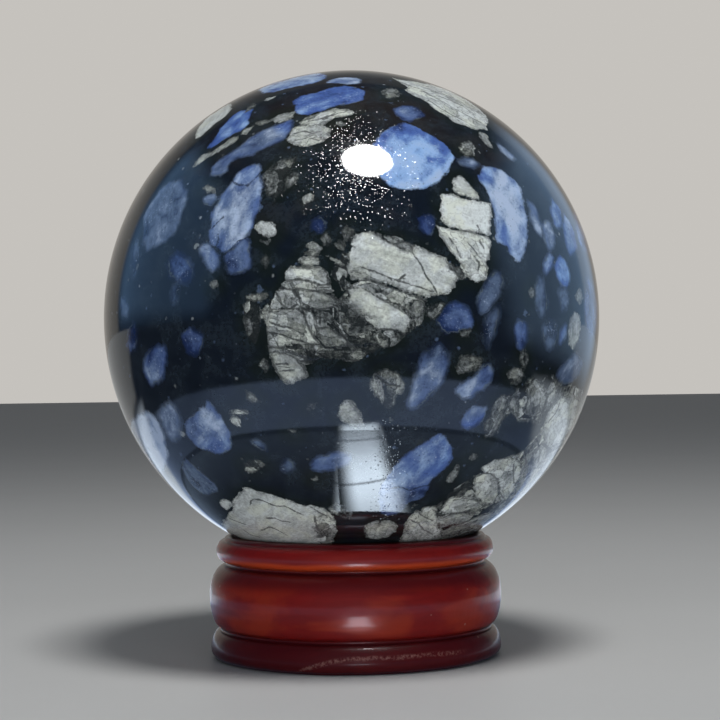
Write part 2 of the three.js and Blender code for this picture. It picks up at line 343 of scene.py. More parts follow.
# Places where a crystal shades into another tone: the tone, the same second number as a
# sort has, over how many millimetres it changes, and the outline in pixels
SEEN_SHADES = {
    "heart of the glint crystal": (0.86, 0.84, 1.6, """
        384,142 396,138 410,142 422,150 430,160 436,172 428,182 410,186 394,184 384,172"""),
    "right of the glint crystal": (0.46, 1.00, 0.9, """
        430,135 446,144 455,157 450,166 442,158 434,150 428,142"""),
    "top of the glint crystal": (0.40, 1.00, 0.9, """
        380,134 396,123 414,124 428,133 424,138 410,133 396,133 384,142"""),
    # Partly painted reflection: the pale hem also stands for light reflected inside the crystal.
    "pale hem and painted reflection of the glint crystal": (0.98, 0.45, 0.5, """
        455,157 445,175 430,187 411,190 392,187 400,183 420,182 436,173 448,160"""),
    "heart of the tall right": (0.98, 0.05, 1.2, """
        492,176 504,178 512,190 515,206 517,224 514,240 506,236 502,218 499,202 495,190"""),
    "head of the tall right": (0.60, 0.80, 0.8, "480,169 490,168 494,176 492,184 484,184 479,178"),
    "foot of the tall right": (0.62, 0.75, 0.8, "497,226 506,224 510,234 508,246 498,241"),
    "heart of the tall left": (0.72, 0.05, 1.4, """
        222,206 234,200 244,206 246,218 238,230 226,234 216,226 216,214"""),
    "head of the tall left": (0.58, 0.55, 0.8, "234,177 247,166 260,165 261,172 256,180 246,184 236,184"),
    "right of the tall left": (0.56, 0.50, 0.8, """
        256,186 262,186 260,204 254,220 248,234 244,230 250,214 254,200"""),
    "heart of the long upper left": (0.56, 0.05, 1.2, """
        246,146 258,140 270,134 276,136 268,142 256,148 246,152"""),
    "end of the long upper left": (0.40, 0.85, 0.7, "276,126 291,120 292,128 284,134 276,134"),
    "heart of the round low left": (0.62, 0.30, 1.2, "192,418 206,410 218,418 224,430 212,434 198,430"),
    "foot of the round low left": (0.36, 0.80, 0.8, "200,442 214,438 228,436 230,448 220,453 206,450"),
    "head of the big low": (0.60, 0.70, 1.0, """
        400,470 412,456 430,444 442,446 440,460 424,476 404,482 392,482"""),
    "edge of the big low": (0.42, 1.00, 0.9, """
        444,440 452,450 450,462 440,473 428,478 424,474 436,462 442,450"""),
    "foot of the big low": (0.36, 0.30, 0.9, """
        382,494 398,490 414,493 427,489 420,498 406,507 396,514 382,515"""),
    "head of the mid right": (0.30, 0.05, 1.0, "424,354 432,346 442,344 448,352 446,358 434,356 426,362"),
    "foot of the small right": (0.36, 1.00, 0.7, "461,424 472,418 486,414 484,420 476,427 464,430"),
    "foot of the mauve block": (0.70, 0.10, 0.9, "268,345 284,353 300,364 307,376 290,384 278,372"),
    "corner of the big block": (0.50, 0.90, 0.7, "347,268 356,267 364,272 370,278 358,281 348,280"),
    "strip of the big block": (0.80, 0.30, 0.8, """
        372,276 388,279 404,284 420,288 434,291 420,296 402,290 384,284"""),
    "left of the wedge": (0.30, 0.90, 0.9, """
        338,304 346,300 356,306 366,316 376,324 376,332 360,338 346,334 336,318"""),
    "band of the wedge": (0.86, 0.20, 0.8, """
        350,288 366,290 382,300 398,308 410,316 404,328 392,326 376,314 360,302"""),
    "end of the low block": (0.66, 0.70, 1.2, "316,510 328,511 336,520 336,532 330,546 318,546 314,530"),
    "pale limb of the mass": (0.96, 0.45, 0.9, "548,412 562,398 574,396 576,416 566,436 554,446 548,440"),
}


# Cracks of the side that the photograph shows, as lines in pixels
SEEN_CRACKS = {
    "big block diagonal": "412,249 413,254 416,258 421,266 427,277 434,288 437,293",
    "big block fold": "362,268 373,271 383,275 392,279 399,280 404,276",
    "big block low": "400,282 412,285 422,288 433,292",
    "cluster long": "292,281 296,292 300,303 304,313 306,322 310,331 314,338 320,344",
    "cluster long twin": "290,283 294,293 298,301 303,307 309,311",
    "cluster top": "286,281 296,280 306,280 314,283 320,286 328,285",
    "cluster second": "282,287 288,290 296,288 306,289 314,291 322,291",
    "cluster left": "276,293 281,301 285,307 290,308 296,305",
    "cluster middle": "304,305 312,309 322,309 330,308 337,305",
    "cluster steps": "313,284 318,289 326,294 336,299 342,302",
    "cluster step low": "320,291 330,291 337,295 341,300",
    "cluster down": "309,310 314,315 314,324 316,330 317,338",
    "cluster low": "268,332 281,335 291,338 300,341 311,344",
    "cluster lower": "273,337 278,346 287,352 297,356 306,358",
    "cluster straight": "268,353 276,352 286,353",
    "cluster hem": "302,361 310,361 318,359",
    "cluster floor": "322,347 336,348 348,346 360,346 373,345",
    "cluster right": "336,333 345,338 350,345",
    "cluster inner": "316,316 326,318 334,324 338,330",
    "cluster heart": "270,322 280,326 290,328 302,334",
    "foot mark one": "278,364 286,364",
    "foot mark two": "282,371 292,370",
    "wedge foot": "375,329 386,329 398,331 405,334",
    "stack ticks one": "469,244 473,249 476,253",
    "stack ticks two": "480,242 483,247",
    "stack ticks three": "475,257 479,263 478,268",
    "stack ticks four": "450,240 456,247 460,256",
    "stack seam top": "450,193 461,197 470,199 480,201",
    "stack seam": "441,225 452,229 464,231 476,233 489,237",
    "stack dot": "478,227 480,230",
    "crown line one": "420,90 432,96 445,103 457,110 468,116 480,122",
    "crown line two": "438,96 452,101 464,107 474,114",
    "crown line three": "430,101 440,108 450,114 460,119",
    "crown line four": "410,86 424,90 438,93 452,97",
    "oval line": "296,133 304,131 312,134 319,132",
    "oval line low": "298,140 308,138 318,140",
    "tail line": "310,121 322,119 332,115 344,112",
    "tall left foot line": "211,245 217,250 223,255 230,250 238,241 246,238",
    "tall left head line": "233,181 238,185 248,185 254,179 260,173",
    "tall left side line": "213,227 218,222 222,218",
    "tall left low line": "216,246 219,241 218,236",
    "low block main": "257,499 262,500 268,503 273,505 279,506 285,506 290,509 296,512 301,514",
    "low block hook": "250,504 251,501 254,499 258,500",
    "low block middle": "268,518 275,518 281,521 288,522",
    "low block left": "231,519 238,522 244,524",
    "low block floor": "245,531 251,535 258,537",
    "low block end": "315,518 316,526 320,532",
    "low block end high": "312,508 320,513 328,516 334,520",
    "low block fold": "262,530 270,527 278,530 286,535",
    "big low line": "388,489 400,487 411,490 420,487 430,485",
    "mass one": "476,477 484,473 492,474 498,480",
    "mass two": "514,465 513,474 514,483 519,483",
    "mass three": "437,506 444,500 450,493",
    "mass four": "498,480 499,492 505,500",
    "mass five": "455,500 464,498 474,500 484,506",
    "mass six": "440,519 452,514 464,512 478,514",
    "mass seven": "411,520 418,523 424,530 432,534",
    "mass eight": "418,512 424,517 432,520",
    "mass nine": "524,452 526,462 522,472",
    "mass ten": "536,440 540,450 538,462",
    "mass eleven": "550,420 556,412 560,402",
    "mass twelve": "478,524 490,516 504,508 516,498",
    "mass thirteen": "430,544 446,538 462,530",
    "mass fourteen": "560,446 566,434 570,420",
    "brown block line": "380,378 388,384 398,386",
}


# Patches where the polish is pitted: over how many millimetres the pits thin out at the
# edge, and the outline in pixels
PITTED_PATCHES = {
    "below the crown": (5.0, "314,142 336,122 368,120 398,150 404,190 386,222 356,238 326,224 304,188"),
    "left of the glint": (2.5, "318,150 334,136 350,138 352,186 372,206 356,214 330,200 316,176"),
    "before the stand": (2.0, "378,424 392,426 398,450 398,486 392,516 378,520"),
}


# Settings


def colour_setting(name, description, default):
    """A colour that a user may change."""
    return FloatVectorProperty(name=name, description=description, subtype="COLOR", default=default)


class BallSettings(bpy.types.PropertyGroup):
    """Sizes and colours of the ball."""

    radius: FloatProperty(
        name="Radius", description="Radius of the ball", unit="LENGTH", precision=4,
        default=(BALL_BOX[1].z - BALL_BOX[0].z) / 2,
    )
    centre_height: FloatProperty(
        name="Centre height", description="Height of the ball's centre", unit="LENGTH", precision=4,
        default=(BALL_BOX[1].z + BALL_BOX[0].z) / 2,
    )
    patch_steps: IntProperty(
        name="Patch steps", description="Steps along each side of the six patches", default=128, min=4,
    )
    front_crowding: FloatProperty(
        name="Front crowding", description="Vertex spacing at the front, as a share of the even one",
        default=0.62, min=0.2, max=1.0,
    )
    hidden_seed: IntProperty(
        name="Hidden seed", description="Seed of the crystals on the unseen sides", default=11,
    )
    hidden_tries: IntProperty(
        name="Hidden tries", description="How many places are tried for unseen crystals", default=1500,
    )
    matrix_colour: colour_setting("Dark stone", "Colour of the dark stone", (0.0056, 0.0090, 0.0155))
    matrix_brown: colour_setting("Brown stone", "Colour of the browner dark stone", (0.0095, 0.0065, 0.0065))
    matrix_green: colour_setting(
        "Green stone", "Colour of the dark stone beside feldspar", (0.0075, 0.0115, 0.0085)
    )
    matrix_haze: colour_setting(
        "Hazy stone", "Colour of the brownish haze in the dark stone", (0.0250, 0.0240, 0.0250)
    )
    matrix_slate: colour_setting(
        "Slate stone", "Colour of the paler clouds in the dark stone", (0.0210, 0.0300, 0.0400)
    )
    blue_black: colour_setting("Blue black", "Darkest dull blue of the crystals", (0.0130, 0.0210, 0.0420))
    blue_dull: colour_setting("Dull blue", "Dull middle blue of the crystals", (0.1050, 0.1500, 0.2450))
    blue_milky: colour_setting("Milky blue", "Dull pale blue of the crystals", (0.4300, 0.5200, 0.6800))
    blue_deep: colour_setting("Deep blue", "Darkest pure blue of the crystals", (0.0120, 0.0260, 0.1000))
    blue_middle: colour_setting("Middle blue", "Pure middle blue of the crystals", (0.0700, 0.1350, 0.4000))
    blue_light: colour_setting("Light blue", "Pure pale blue of the crystals", (0.2600, 0.4700, 0.8300))
    blue_fleck: colour_setting(
        "Blue fleck", "Colour of the white flecks in the blue", (0.5200, 0.6000, 0.7400)
    )
    blue_rim: colour_setting(
        "Blue rim", "Colour of the thin altered rim of some blue crystals", (0.2200, 0.2700, 0.2500)
    )
    feldspar_dull: colour_setting(
        "Dull feldspar", "Colour of the darkest grey crystals", (0.0210, 0.0250, 0.0250)
    )
    feldspar_pale: colour_setting(
        "Pale feldspar", "Colour of the palest grey crystals", (0.7200, 0.7700, 0.7600)
    )
    feldspar_warm: colour_setting(
        "Warm feldspar", "Colour of the yellower grey crystals", (0.6900, 0.7200, 0.5600)
    )
    feldspar_crack: colour_setting(
        "Feldspar crack", "Colour of cracks in grey crystals", (0.0100, 0.0125, 0.0130)
    )
    polish: FloatProperty(
        name="Polish", description="Roughness of the polished stone", default=0.045, min=0.0, max=1.0,
    )


class StandSettings(bpy.types.PropertyGroup):
    """Sizes and colours of the ring stand."""

    barrel_radius: FloatProperty(
        name="Barrel radius", description="Widest radius of the barrel", unit="LENGTH", precision=4,
        default=(STAND_BOX[1].x - STAND_BOX[0].x) / 2,
    )
    # Where thin lacquer and painted light from below pale the lip's lower edge
    lip_edge_height: FloatProperty(
        name="Lip edge height", description="Height of the thin lacquer under the lip", unit="LENGTH",
        default=0.0139, precision=4,
    )
    turn_steps: IntProperty(
        name="Turn steps", description="Steps round the stand", default=360, min=12,
    )
    lacquer_red: colour_setting(
        "Lacquer red", "Common colour of the lacquered wood", (0.3350, 0.0130, 0.0095)
    )
    # Also the colour of painted shade in the grooves, under the lip and on the crest
    lacquer_dark: colour_setting(
        "Lacquer dark", "Colour where the lacquer lies thick", (0.0480, 0.0036, 0.0066)
    )
    # Also the colour of the painted light from below on the lip's lower edge
    lacquer_orange: colour_setting(
        "Lacquer orange", "Colour where the lacquer is thin", (0.6000, 0.0680, 0.0150)
    )
    scuffed: colour_setting("Scuffed wood", "Colour of scuffs and bare specks", (0.4800, 0.2400, 0.2000))
    bare_wood: colour_setting(
        "Bare wood", "Colour of the unvarnished underside and bore", (0.1500, 0.0600, 0.0300)
    )


class StageSettings(bpy.types.PropertyGroup):
    """The camera, the floor and the lights."""

    camera_distance: FloatProperty(
        name="Camera distance", description="From the stand's axis", unit="LENGTH", default=0.250,
    )
    camera_height: FloatProperty(
        name="Camera height", description="Above the floor", unit="LENGTH", precision=5, default=0.0377,
    )
    focal_pixels: FloatProperty(
        name="Focal length", description="In pixels of the photograph's frame", default=1753.0,
    )
    camera_yaw: FloatProperty(
        name="Yaw", description="Turn to the right", subtype="ANGLE", default=0.0044,
    )
    camera_pitch: FloatProperty(
        name="Pitch", description="Tilt upwards", subtype="ANGLE", default=0.0160,
    )
    camera_roll: FloatProperty(
        name="Roll", description="Turn about the line of sight", subtype="ANGLE", default=-0.0141,
    )
    floor_colour: colour_setting("Floor", "Colour of the pale floor", (0.52, 0.52, 0.51))
    wall_colour: colour_setting("Wall", "Plain colour behind the object", (0.56, 0.54, 0.51))
    lamp_radiance: FloatProperty(
        name="Lamp radiance", description="Brightness of the round lamp's light", default=34.0,
    )
    lamp_image_radiance: FloatProperty(
        name="Lamp image radiance", description="Brightness of the round lamp's mirror image", default=120.0,
    )


# Settings are read through these short functions


def ball_settings():
    """The ball's settings."""
    return bpy.context.scene.stone_ball


def stand_settings():
    """The stand's settings."""
    return bpy.context.scene.stone_ball_stand


def stage_settings():
    """The camera's, floor's and lights' settings."""
    return bpy.context.scene.stone_ball_stage


# The camera's geometry, shared by the camera and by the crystals' places


class Sight:
    """The photograph's camera: where it is, which way it looks and what a pixel sees."""

    def __init__(self, stage):
        """The view is turned right by the yaw, up by the pitch and about itself by the roll."""
        yaw, pitch, roll = stage.camera_yaw, stage.camera_pitch, stage.camera_roll
        ahead = np.array([math.sin(yaw) * math.cos(pitch), math.cos(yaw) * math.cos(pitch), math.sin(pitch)])
        level_right = np.array([math.cos(yaw), -math.sin(yaw), 0.0])
        level_up = np.cross(level_right, ahead)
        self.place = np.array([0.0, -stage.camera_distance, stage.camera_height])
        self.focal = stage.focal_pixels
        self.ahead = ahead
        self.right = math.cos(roll) * level_right + math.sin(roll) * level_up
        self.up = math.cos(roll) * level_up - math.sin(roll) * level_right

    def rays(self, pixels):
        """Unit directions from the camera through pixels of the photograph's frame."""
        offset = (np.asarray(pixels, float) - PHOTO_SIZE / 2) / self.focal
        rays = self.ahead + offset[..., :1] * self.right - offset[..., 1:] * self.up
        return rays / np.linalg.norm(rays, axis=-1, keepdims=True)

    def on_ball(self, pixels, centre, radius):
        """Unit directions from the ball's centre to what the pixels see of it.

        A ray meets the sphere where the usual quadratic has its nearer root. A pixel
        outside the ball's outline lands past its limb, by an angle that grows with
        how far outside it is.
        """
        past_limb_gain = 1.6
        to_centre = centre - self.place
        distance = np.linalg.norm(to_centre)
        facing = -to_centre / distance
        rays = self.rays(pixels)
        along = rays @ to_centre
        miss = rays * along[..., None] - to_centre
        miss_length = np.linalg.norm(miss, axis=-1, keepdims=True)
        sideways = miss / np.maximum(miss_length, 1e-12)
        share = miss_length / radius
        depth = np.sqrt(np.maximum(radius**2 - miss_length**2, 0.0))
        hit = (miss - rays * depth) / radius
        limb = math.acos(radius / distance)
        angle = limb + (share - 1.0) * past_limb_gain
        beyond = np.cos(angle) * facing + np.sin(angle) * (
            sideways - (sideways @ facing)[..., None] * facing
        )
        chosen = np.where(share < 1.0, hit, beyond)
        return chosen / np.linalg.norm(chosen, axis=-1, keepdims=True)


# Mesh helpers


def mesh_object(name, points, quads, normals=None):
    """A smooth-shaded mesh object from arrays of points and quads, in metres."""
    mesh = bpy.data.meshes.new(name)
    mesh.vertices.add(len(points))
    mesh.vertices.foreach_set("co", np.asarray(points, np.float32).ravel())
    mesh.loops.add(quads.size)
    mesh.loops.foreach_set("vertex_index", np.asarray(quads, np.int32).ravel())
    mesh.polygons.add(len(quads))
    mesh.polygons.foreach_set("loop_start", np.arange(0, quads.size, 4, dtype=np.int32))
    mesh.update(calc_edges=True)
    mesh.validate()
    mesh.shade_smooth()
    if normals is not None:
        mesh.normals_split_custom_set_from_vertices(normals.astype(np.float32))
    made = bpy.data.objects.new(name, mesh)
    bpy.context.scene.collection.objects.link(made)
    return made


def add_attribute(made, name, values):
    """Stores one number, or one vector, for each vertex of the object's mesh."""
    is_vector = values.ndim == 2
    attribute = made.data.attributes.new(name, "FLOAT_VECTOR" if is_vector else "FLOAT", "POINT")
    attribute.data.foreach_set("vector" if is_vector else "value", values.astype(np.float32).ravel())


def even_sphere(steps):
    """Unit points and quads of a cube's six faces blown up to a sphere.

    On each face a point is (1, tan(a), tan(b)) scaled to length one, with a and b in
    even steps from minus to plus an eighth of a turn, so that the quads are of nearly
    one size. Points shared by two faces are merged.
    """
    angles = np.tan(np.linspace(-math.pi / 4, math.pi / 4, steps + 1))
    a, b = np.meshgrid(angles, angles, indexing="ij")
    ones = np.ones_like(a)
    corner = np.arange(steps)[:, None] * (steps + 1) + np.arange(steps)[None, :]
    square = np.stack([corner, corner + steps + 1, corner + steps + 2, corner + 1], -1).reshape(-1, 4)
    points, quads = [], []
    for axis in range(3):
        for sign in (1.0, -1.0):
            face = np.empty(a.shape + (3,))
            face[..., axis] = sign * ones
            face[..., (axis + 1) % 3] = a * sign
            face[..., (axis + 2) % 3] = b
            quads.append(square + sum(len(p) for p in points))
            points.append(face.reshape(-1, 3))
    points = np.concatenate(points)
    points /= np.linalg.norm(points, axis=1, keepdims=True)
    merge_grid = 1e6
    _, first, where = np.unique(
        np.round(points * merge_grid).astype(np.int64), axis=0, return_index=True, return_inverse=True
    )
    return points[first], where.ravel()[np.concatenate(quads)]


def crowd_towards(points, front, share):
    """Moves points of a unit sphere towards one side, so that they lie closer there.

    Seen from the far pole, half-angle tangents from the front are all multiplied by
    the share, which keeps small shapes undistorted.
    """
    along = points @ front
    across = points - along[:, None] * front
    across_length = np.linalg.norm(across, axis=1)
    half = np.arctan2(across_length, 1.0 + along)
    angle = 2.0 * np.arctan2(share * np.sin(half), np.cos(half))
    sideways = across / np.maximum(across_length, 1e-12)[:, None]
    return np.cos(angle)[:, None] * front + np.sin(angle)[:, None] * sideways


# Crystals on the sphere


class CrystalMap:
    """Draws crystal outlines on a sphere and keeps, for each vertex, what is near it.

    Distances are in millimetres along the surface, negative inside a crystal.
    """

    reach = 3.0  # past this distance a crystal no longer counts
    kinds = ("blue", "grey")
    grain_offset = 7.31  # between one crystal's clouds and the next one's

    def __init__(self, directions, radius_mm):
        self.directions = directions
        self.radius = radius_mm
        count = len(directions)
        self.edge = {kind: np.full(count, self.reach) for kind in self.kinds}
        self.seam = np.full(count, self.reach)
        self.tone = np.full(count, 0.5)
        self.tint = np.full(count, 0.5)
        self.soft = np.full(count, 0.3)
        self.grain = np.zeros((count, 3))
        self.crack_side = np.full(count, self.reach)
        self.crack_distance = np.full(count, self.reach)
        self.pitted = np.zeros(count)
        self.drawn = 0

    def plane(self, centre):
        """Two directions across a centre direction, square to it and to each other.

        The first is the cross product of an axis and the centre, and the second that
        of the centre and the first.
        """
        helper = np.array([0.0, 0.0, 1.0]) if abs(centre[2]) < 0.9 else np.array([1.0, 0.0, 0.0])
        first = np.cross(helper, centre)
        first /= np.linalg.norm(first)
        return first, np.cross(centre, first)

    def flatten(self, directions, centre, first, second):
        """Unrolls directions onto a plane about the centre.

        A point's distance from the centre is its arc's length on the sphere, and its
        bearing is kept.
        """
        across = directions - (directions @ centre)[:, None] * centre
        length = np.linalg.norm(across, axis=1)
        arc = np.arctan2(length, directions @ centre) * self.radius
        share = arc / np.maximum(length, 1e-12)
        return np.stack([(across @ first) * share, (across @ second) * share], -1)

    def around(self, line):
        """The vertices near a line or outline, both unrolled on a plane that lies along it.

        The plane's first axis is the line's main direction: the one in which its
        corners spread most.
        """
        centre = line.mean(0)
        centre /= np.linalg.norm(centre)
        first, second = self.plane(centre)
        flat = self.flatten(line, centre, first, second)
        spread = flat - flat.mean(0)
        turn = 0.5 * math.atan2(2.0 * (spread[:, 0] @ spread[:, 1]), (spread**2).sum(0) @ [1.0, -1.0])
        first, second = (
            math.cos(turn) * first + math.sin(turn) * second,
            math.cos(turn) * second - math.sin(turn) * first,
        )
        flat = self.flatten(line, centre, first, second)
        widest_angle = 3.0  # in radians, short of the opposite pole
        limit = min((np.linalg.norm(flat, axis=1).max() + self.reach) / self.radius, widest_angle)
        near = np.flatnonzero(self.directions @ centre > math.cos(limit))
        return near, self.flatten(self.directions[near], centre, first, second), flat

    def draw(self, kind, outline, tone, tint, soft, rounding):
        """Adds one crystal, from the directions of its outline's corners.

        Inside its outline a crystal covers what was drawn before it. Outside, it counts
        only for the vertices that it is nearest to. Without a kind it bares the ground.
        """
        near, local, flat = self.around(outline)
        distance = distance_to_outline(local, cut_corners(flat, rounding))
        for other in self.kinds:
            if other != kind:
                self.edge[other][near] = np.maximum(self.edge[other][near], -distance)
        if kind is None:
            return
        chosen = (distance < 0.0) | (distance < np.minimum(*(self.edge[k][near] for k in self.kinds)))
        self.edge[kind][near] = np.minimum(self.edge[kind][near], distance)
        self.seam[near] = np.where(distance < 0.0, -distance, np.minimum(self.seam[near], distance))
        self.drawn += 1
        chosen_vertices = near[chosen]
        self.tone[chosen_vertices] = tone
        self.tint[chosen_vertices] = tint
        self.soft[chosen_vertices] = soft
        self.grain[chosen_vertices, :2] = local[chosen]
        self.grain[chosen_vertices, 2] = self.drawn * self.grain_offset

    def inside(self, outline, soft):
        """The vertices near an outline, and how far inside it each is, from 0 to 1.

        The share rises smoothly over twice the soft width, with 0.5 on the outline.
        """
        near, local, flat = self.around(outline)
        distance = distance_to_outline(local, cut_corners(flat, 2))
        share = np.clip(0.5 - distance / (2.0 * soft), 0.0, 1.0)
        return near, share * share * (3.0 - 2.0 * share)

    def shade(self, outline, tone, tint, soft):
        """Shades what lies inside an outline towards another tone and tint."""
        near, share = self.inside(outline, soft)
        self.tone[near] += share * (tone - self.tone[near])
        self.tint[near] += share * (tint - self.tint[near])

    def pit(self, outline, soft):
        """Marks the polish inside an outline as pitted."""
        near, share = self.inside(outline, soft)
        self.pitted[near] = np.maximum(self.pitted[near], share)

    def crack(self, line):
        """Adds a crack along a line.

        Each vertex keeps its distance from the nearest crack, and on which side of the
        crack it lies as a signed distance, which crosses zero exactly at the crack.
        """
        near, local, flat = self.around(line)
        for start, end in zip(flat[:-1], flat[1:]):
            along = (end - start) / np.linalg.norm(end - start)
            offset = local - start
            share = np.clip(offset @ along, 0.0, np.linalg.norm(end - start))
            distance = np.linalg.norm(offset - share[:, None] * along, axis=1)
            side = offset @ np.array([-along[1], along[0]])
            closer = distance < self.crack_distance[near]
            self.crack_distance[near[closer]] = distance[closer]
            self.crack_side[near[closer]] = side[closer]

    def room_at(self, direction):
        """Distance from a direction to the nearest crystal drawn so far."""
        vertex = np.argmax(self.directions @ direction)
        return min(self.edge[kind][vertex] for kind in self.kinds)


def cut_corners(outline, times):
    """Rounds a closed outline: each side keeps all but a fifth at each end, again and again."""
    cut = 0.2
    for _ in range(times):
        following = np.roll(outline, -1, axis=0)
        kept = [(1.0 - share) * outline + share * following for share in (cut, 1.0 - cut)]
        outline = np.stack(kept, 1).reshape(-1, 2)
    return outline


def distance_to_outline(points, outline):
    """Signed distance from points to a closed outline, negative inside.

    The distance is that to the nearest side. A point is inside where a line from it
    to the right crosses the sides an odd number of times.
    """
    nearest = np.full(len(points), np.inf)
    inside = np.zeros(len(points), bool)
    for start, end in zip(outline, np.roll(outline, -1, axis=0)):
        side = end - start
        offset = points - start
        along = np.clip(offset @ side / max(side @ side, 1e-12), 0.0, 1.0)
        nearest = np.minimum(nearest, ((offset - along[:, None] * side) ** 2).sum(1))
        spans = (start[1] > points[:, 1]) != (end[1] > points[:, 1])
        rise = side[1] if abs(side[1]) > 1e-12 else 1e-12
        crossing = start[0] + (points[:, 1] - start[1]) * side[0] / rise
        inside ^= spans & (points[:, 0] < crossing)
    distance = np.sqrt(nearest)
    return np.where(inside, -distance, distance)


def read_pixels(line):
    """Pixel coordinates from a line of x,y pairs."""
    return np.array([[float(value) for value in pair.split(",")] for pair in line.split()])


def draw_seen_side(crystals, sight, centre, radius):
    """Places the crystals, shades, cracks and pits where the photograph shows them."""

    def on_ball(line):
        """Directions from the ball's centre to a line's pixels."""
        return sight.on_ball(read_pixels(line), centre, radius)

    for sort, tone, soft, outline in SEEN_CRYSTALS.values():
        kind, tint, rounding = CRYSTAL_SORTS[sort]
        crystals.draw(kind, on_ball(outline), tone, tint, soft, rounding)
    for tone, tint, soft, outline in SEEN_SHADES.values():
        crystals.shade(on_ball(outline), tone, tint, soft)
    for line in SEEN_CRACKS.values():
        crystals.crack(on_ball(line))
    for soft, outline in PITTED_PATCHES.values():
        crystals.pit(on_ball(outline), soft)


def uneven_outline(random, crystals, direction, half_length, stretch):
    """A closed outline about a direction: an ellipse whose radius a few random waves disturb.

    The radius is one plus cosines of two to five times the bearing, each of a random
    height and phase.
    """
    corners = 11
    wave_heights = [0.12, 0.10, 0.09, 0.07]
    bearings = np.linspace(0.0, 2.0 * math.pi, corners + 1)[:-1]
    turn = random.uniform(0.0, math.pi)
    waves = random.normal(0.0, wave_heights)
    phases = random.uniform(0.0, 2.0 * math.pi, len(wave_heights))
    uneven = 1.0 + sum(
        wave * np.cos(order * bearings + phase)
        for order, (wave, phase) in enumerate(zip(waves, phases), start=2)
    )
    along = half_length * uneven * np.cos(bearings)
    across = half_length / stretch * uneven * np.sin(bearings)
    first, second = crystals.plane(direction)
    offset = (
        (along * math.cos(turn) - across * math.sin(turn))[:, None] * first
        + (along * math.sin(turn) + across * math.cos(turn))[:, None] * second
    )
    outline = direction + offset / crystals.radius
    return outline / np.linalg.norm(outline, axis=1, keepdims=True)


def draw_hidden_side(crystals, sight, centre, radius, settings):
    """Scatters crystals of the same sorts where the photograph doesn't look.

    A crystal is kept only where it has room and lies past the ball's limb. The larger
    feldspar ones are broken by a crack or two and have a paler heart, and some blue
    ones do too.
    """
    random = np.random.default_rng(settings.hidden_seed)
    facing = sight.place - centre
    distance = np.linalg.norm(facing)
    facing = facing / distance
    limb = math.acos(radius / distance)
    sorts = ("azure", "blue", "lilac", "slate", "block", "broken", "rubble")
    chances = (0.10, 0.14, 0.16, 0.10, 0.16, 0.20, 0.14)
    shortest, longest = 0.6, 9.0  # half lengths in millimetres
    large = 2.2  # from this half length a crystal has a heart and cracks
    for _ in range(settings.hidden_tries):
        direction = random.normal(size=3)
        direction /= np.linalg.norm(direction)
        kind, tint, rounding = CRYSTAL_SORTS[random.choice(sorts, p=chances)]
        half_length = float(np.clip(random.lognormal(0.75, 0.60), shortest, longest))
        outline = uneven_outline(random, crystals, direction, half_length, random.uniform(1.1, 2.4))
        tone = random.uniform(0.15, 0.80) if kind == "blue" else random.uniform(0.25, 0.95)
        soft = random.uniform(0.15, 0.6) if kind == "blue" else random.uniform(0.0, 0.12)
        heart = uneven_outline(random, crystals, direction, half_length * 0.5, 1.3)
        cracks = [
            outline[[first, (first + 5) % len(outline)]] * random.uniform(0.9, 1.1, (2, 1))
            for first in random.integers(0, len(outline), 2)
        ]
        past_limb = math.acos(float(np.clip(direction @ facing, -1.0, 1.0))) - limb
        if past_limb * crystals.radius < half_length * 0.8:
            continue
        if crystals.room_at(direction) < min(half_length * 0.75, crystals.reach - 0.1):
            continue
        crystals.draw(kind, outline, tone, tint, soft, rounding)
        if half_length > large:
            crystals.shade(heart, min(tone + 0.25, 1.0), tint * 0.4, half_length * 0.3)
        if half_length > large and kind == "grey":
            for ends in cracks:
                crystals.crack(bent_line(ends))


def bent_line(ends):
    """A slightly zigzag line on the sphere between two directions.

    Points at even shares between the ends are pushed sideways, along the ends' cross
    product, and brought back to length one.
    """
    zigzag = np.array([0.0, 0.03, -0.02, 0.025, 0.0])
    share = np.linspace(0.0, 1.0, len(zigzag))[:, None]
    sideways = np.cross(ends[0], ends[1])
    line = (1.0 - share) * ends[0] + share * ends[1] + zigzag[:, None] * sideways
    return line / np.linalg.norm(line, axis=1, keepdims=True)


def make_ball(settings, sight):
    """The ball's mesh, with the crystal map stored on its vertices.

    Each vertex is the centre plus the radius times its direction.
    """
    centre = np.array([0.0, 0.0, settings.centre_height])
    front = sight.place - centre
    front /= np.linalg.norm(front)
    directions, quads = even_sphere(settings.patch_steps)
    directions = crowd_towards(directions, front, settings.front_crowding)
    crystals = CrystalMap(directions, settings.radius / MM)
    draw_seen_side(crystals, sight, centre, settings.radius)
    draw_hidden_side(crystals, sight, centre, settings.radius, settings)
    ball = mesh_object("polished_ball", centre + directions * settings.radius, quads, directions)
    for kind in crystals.kinds:
        add_attribute(ball, f"{kind}_edge", crystals.edge[kind])
    for name in ("seam", "tone", "tint", "soft", "grain", "crack_side", "crack_distance", "pitted"):
        add_attribute(ball, f"crystal_{name}", getattr(crystals, name))
    return ball


# The stand's outline

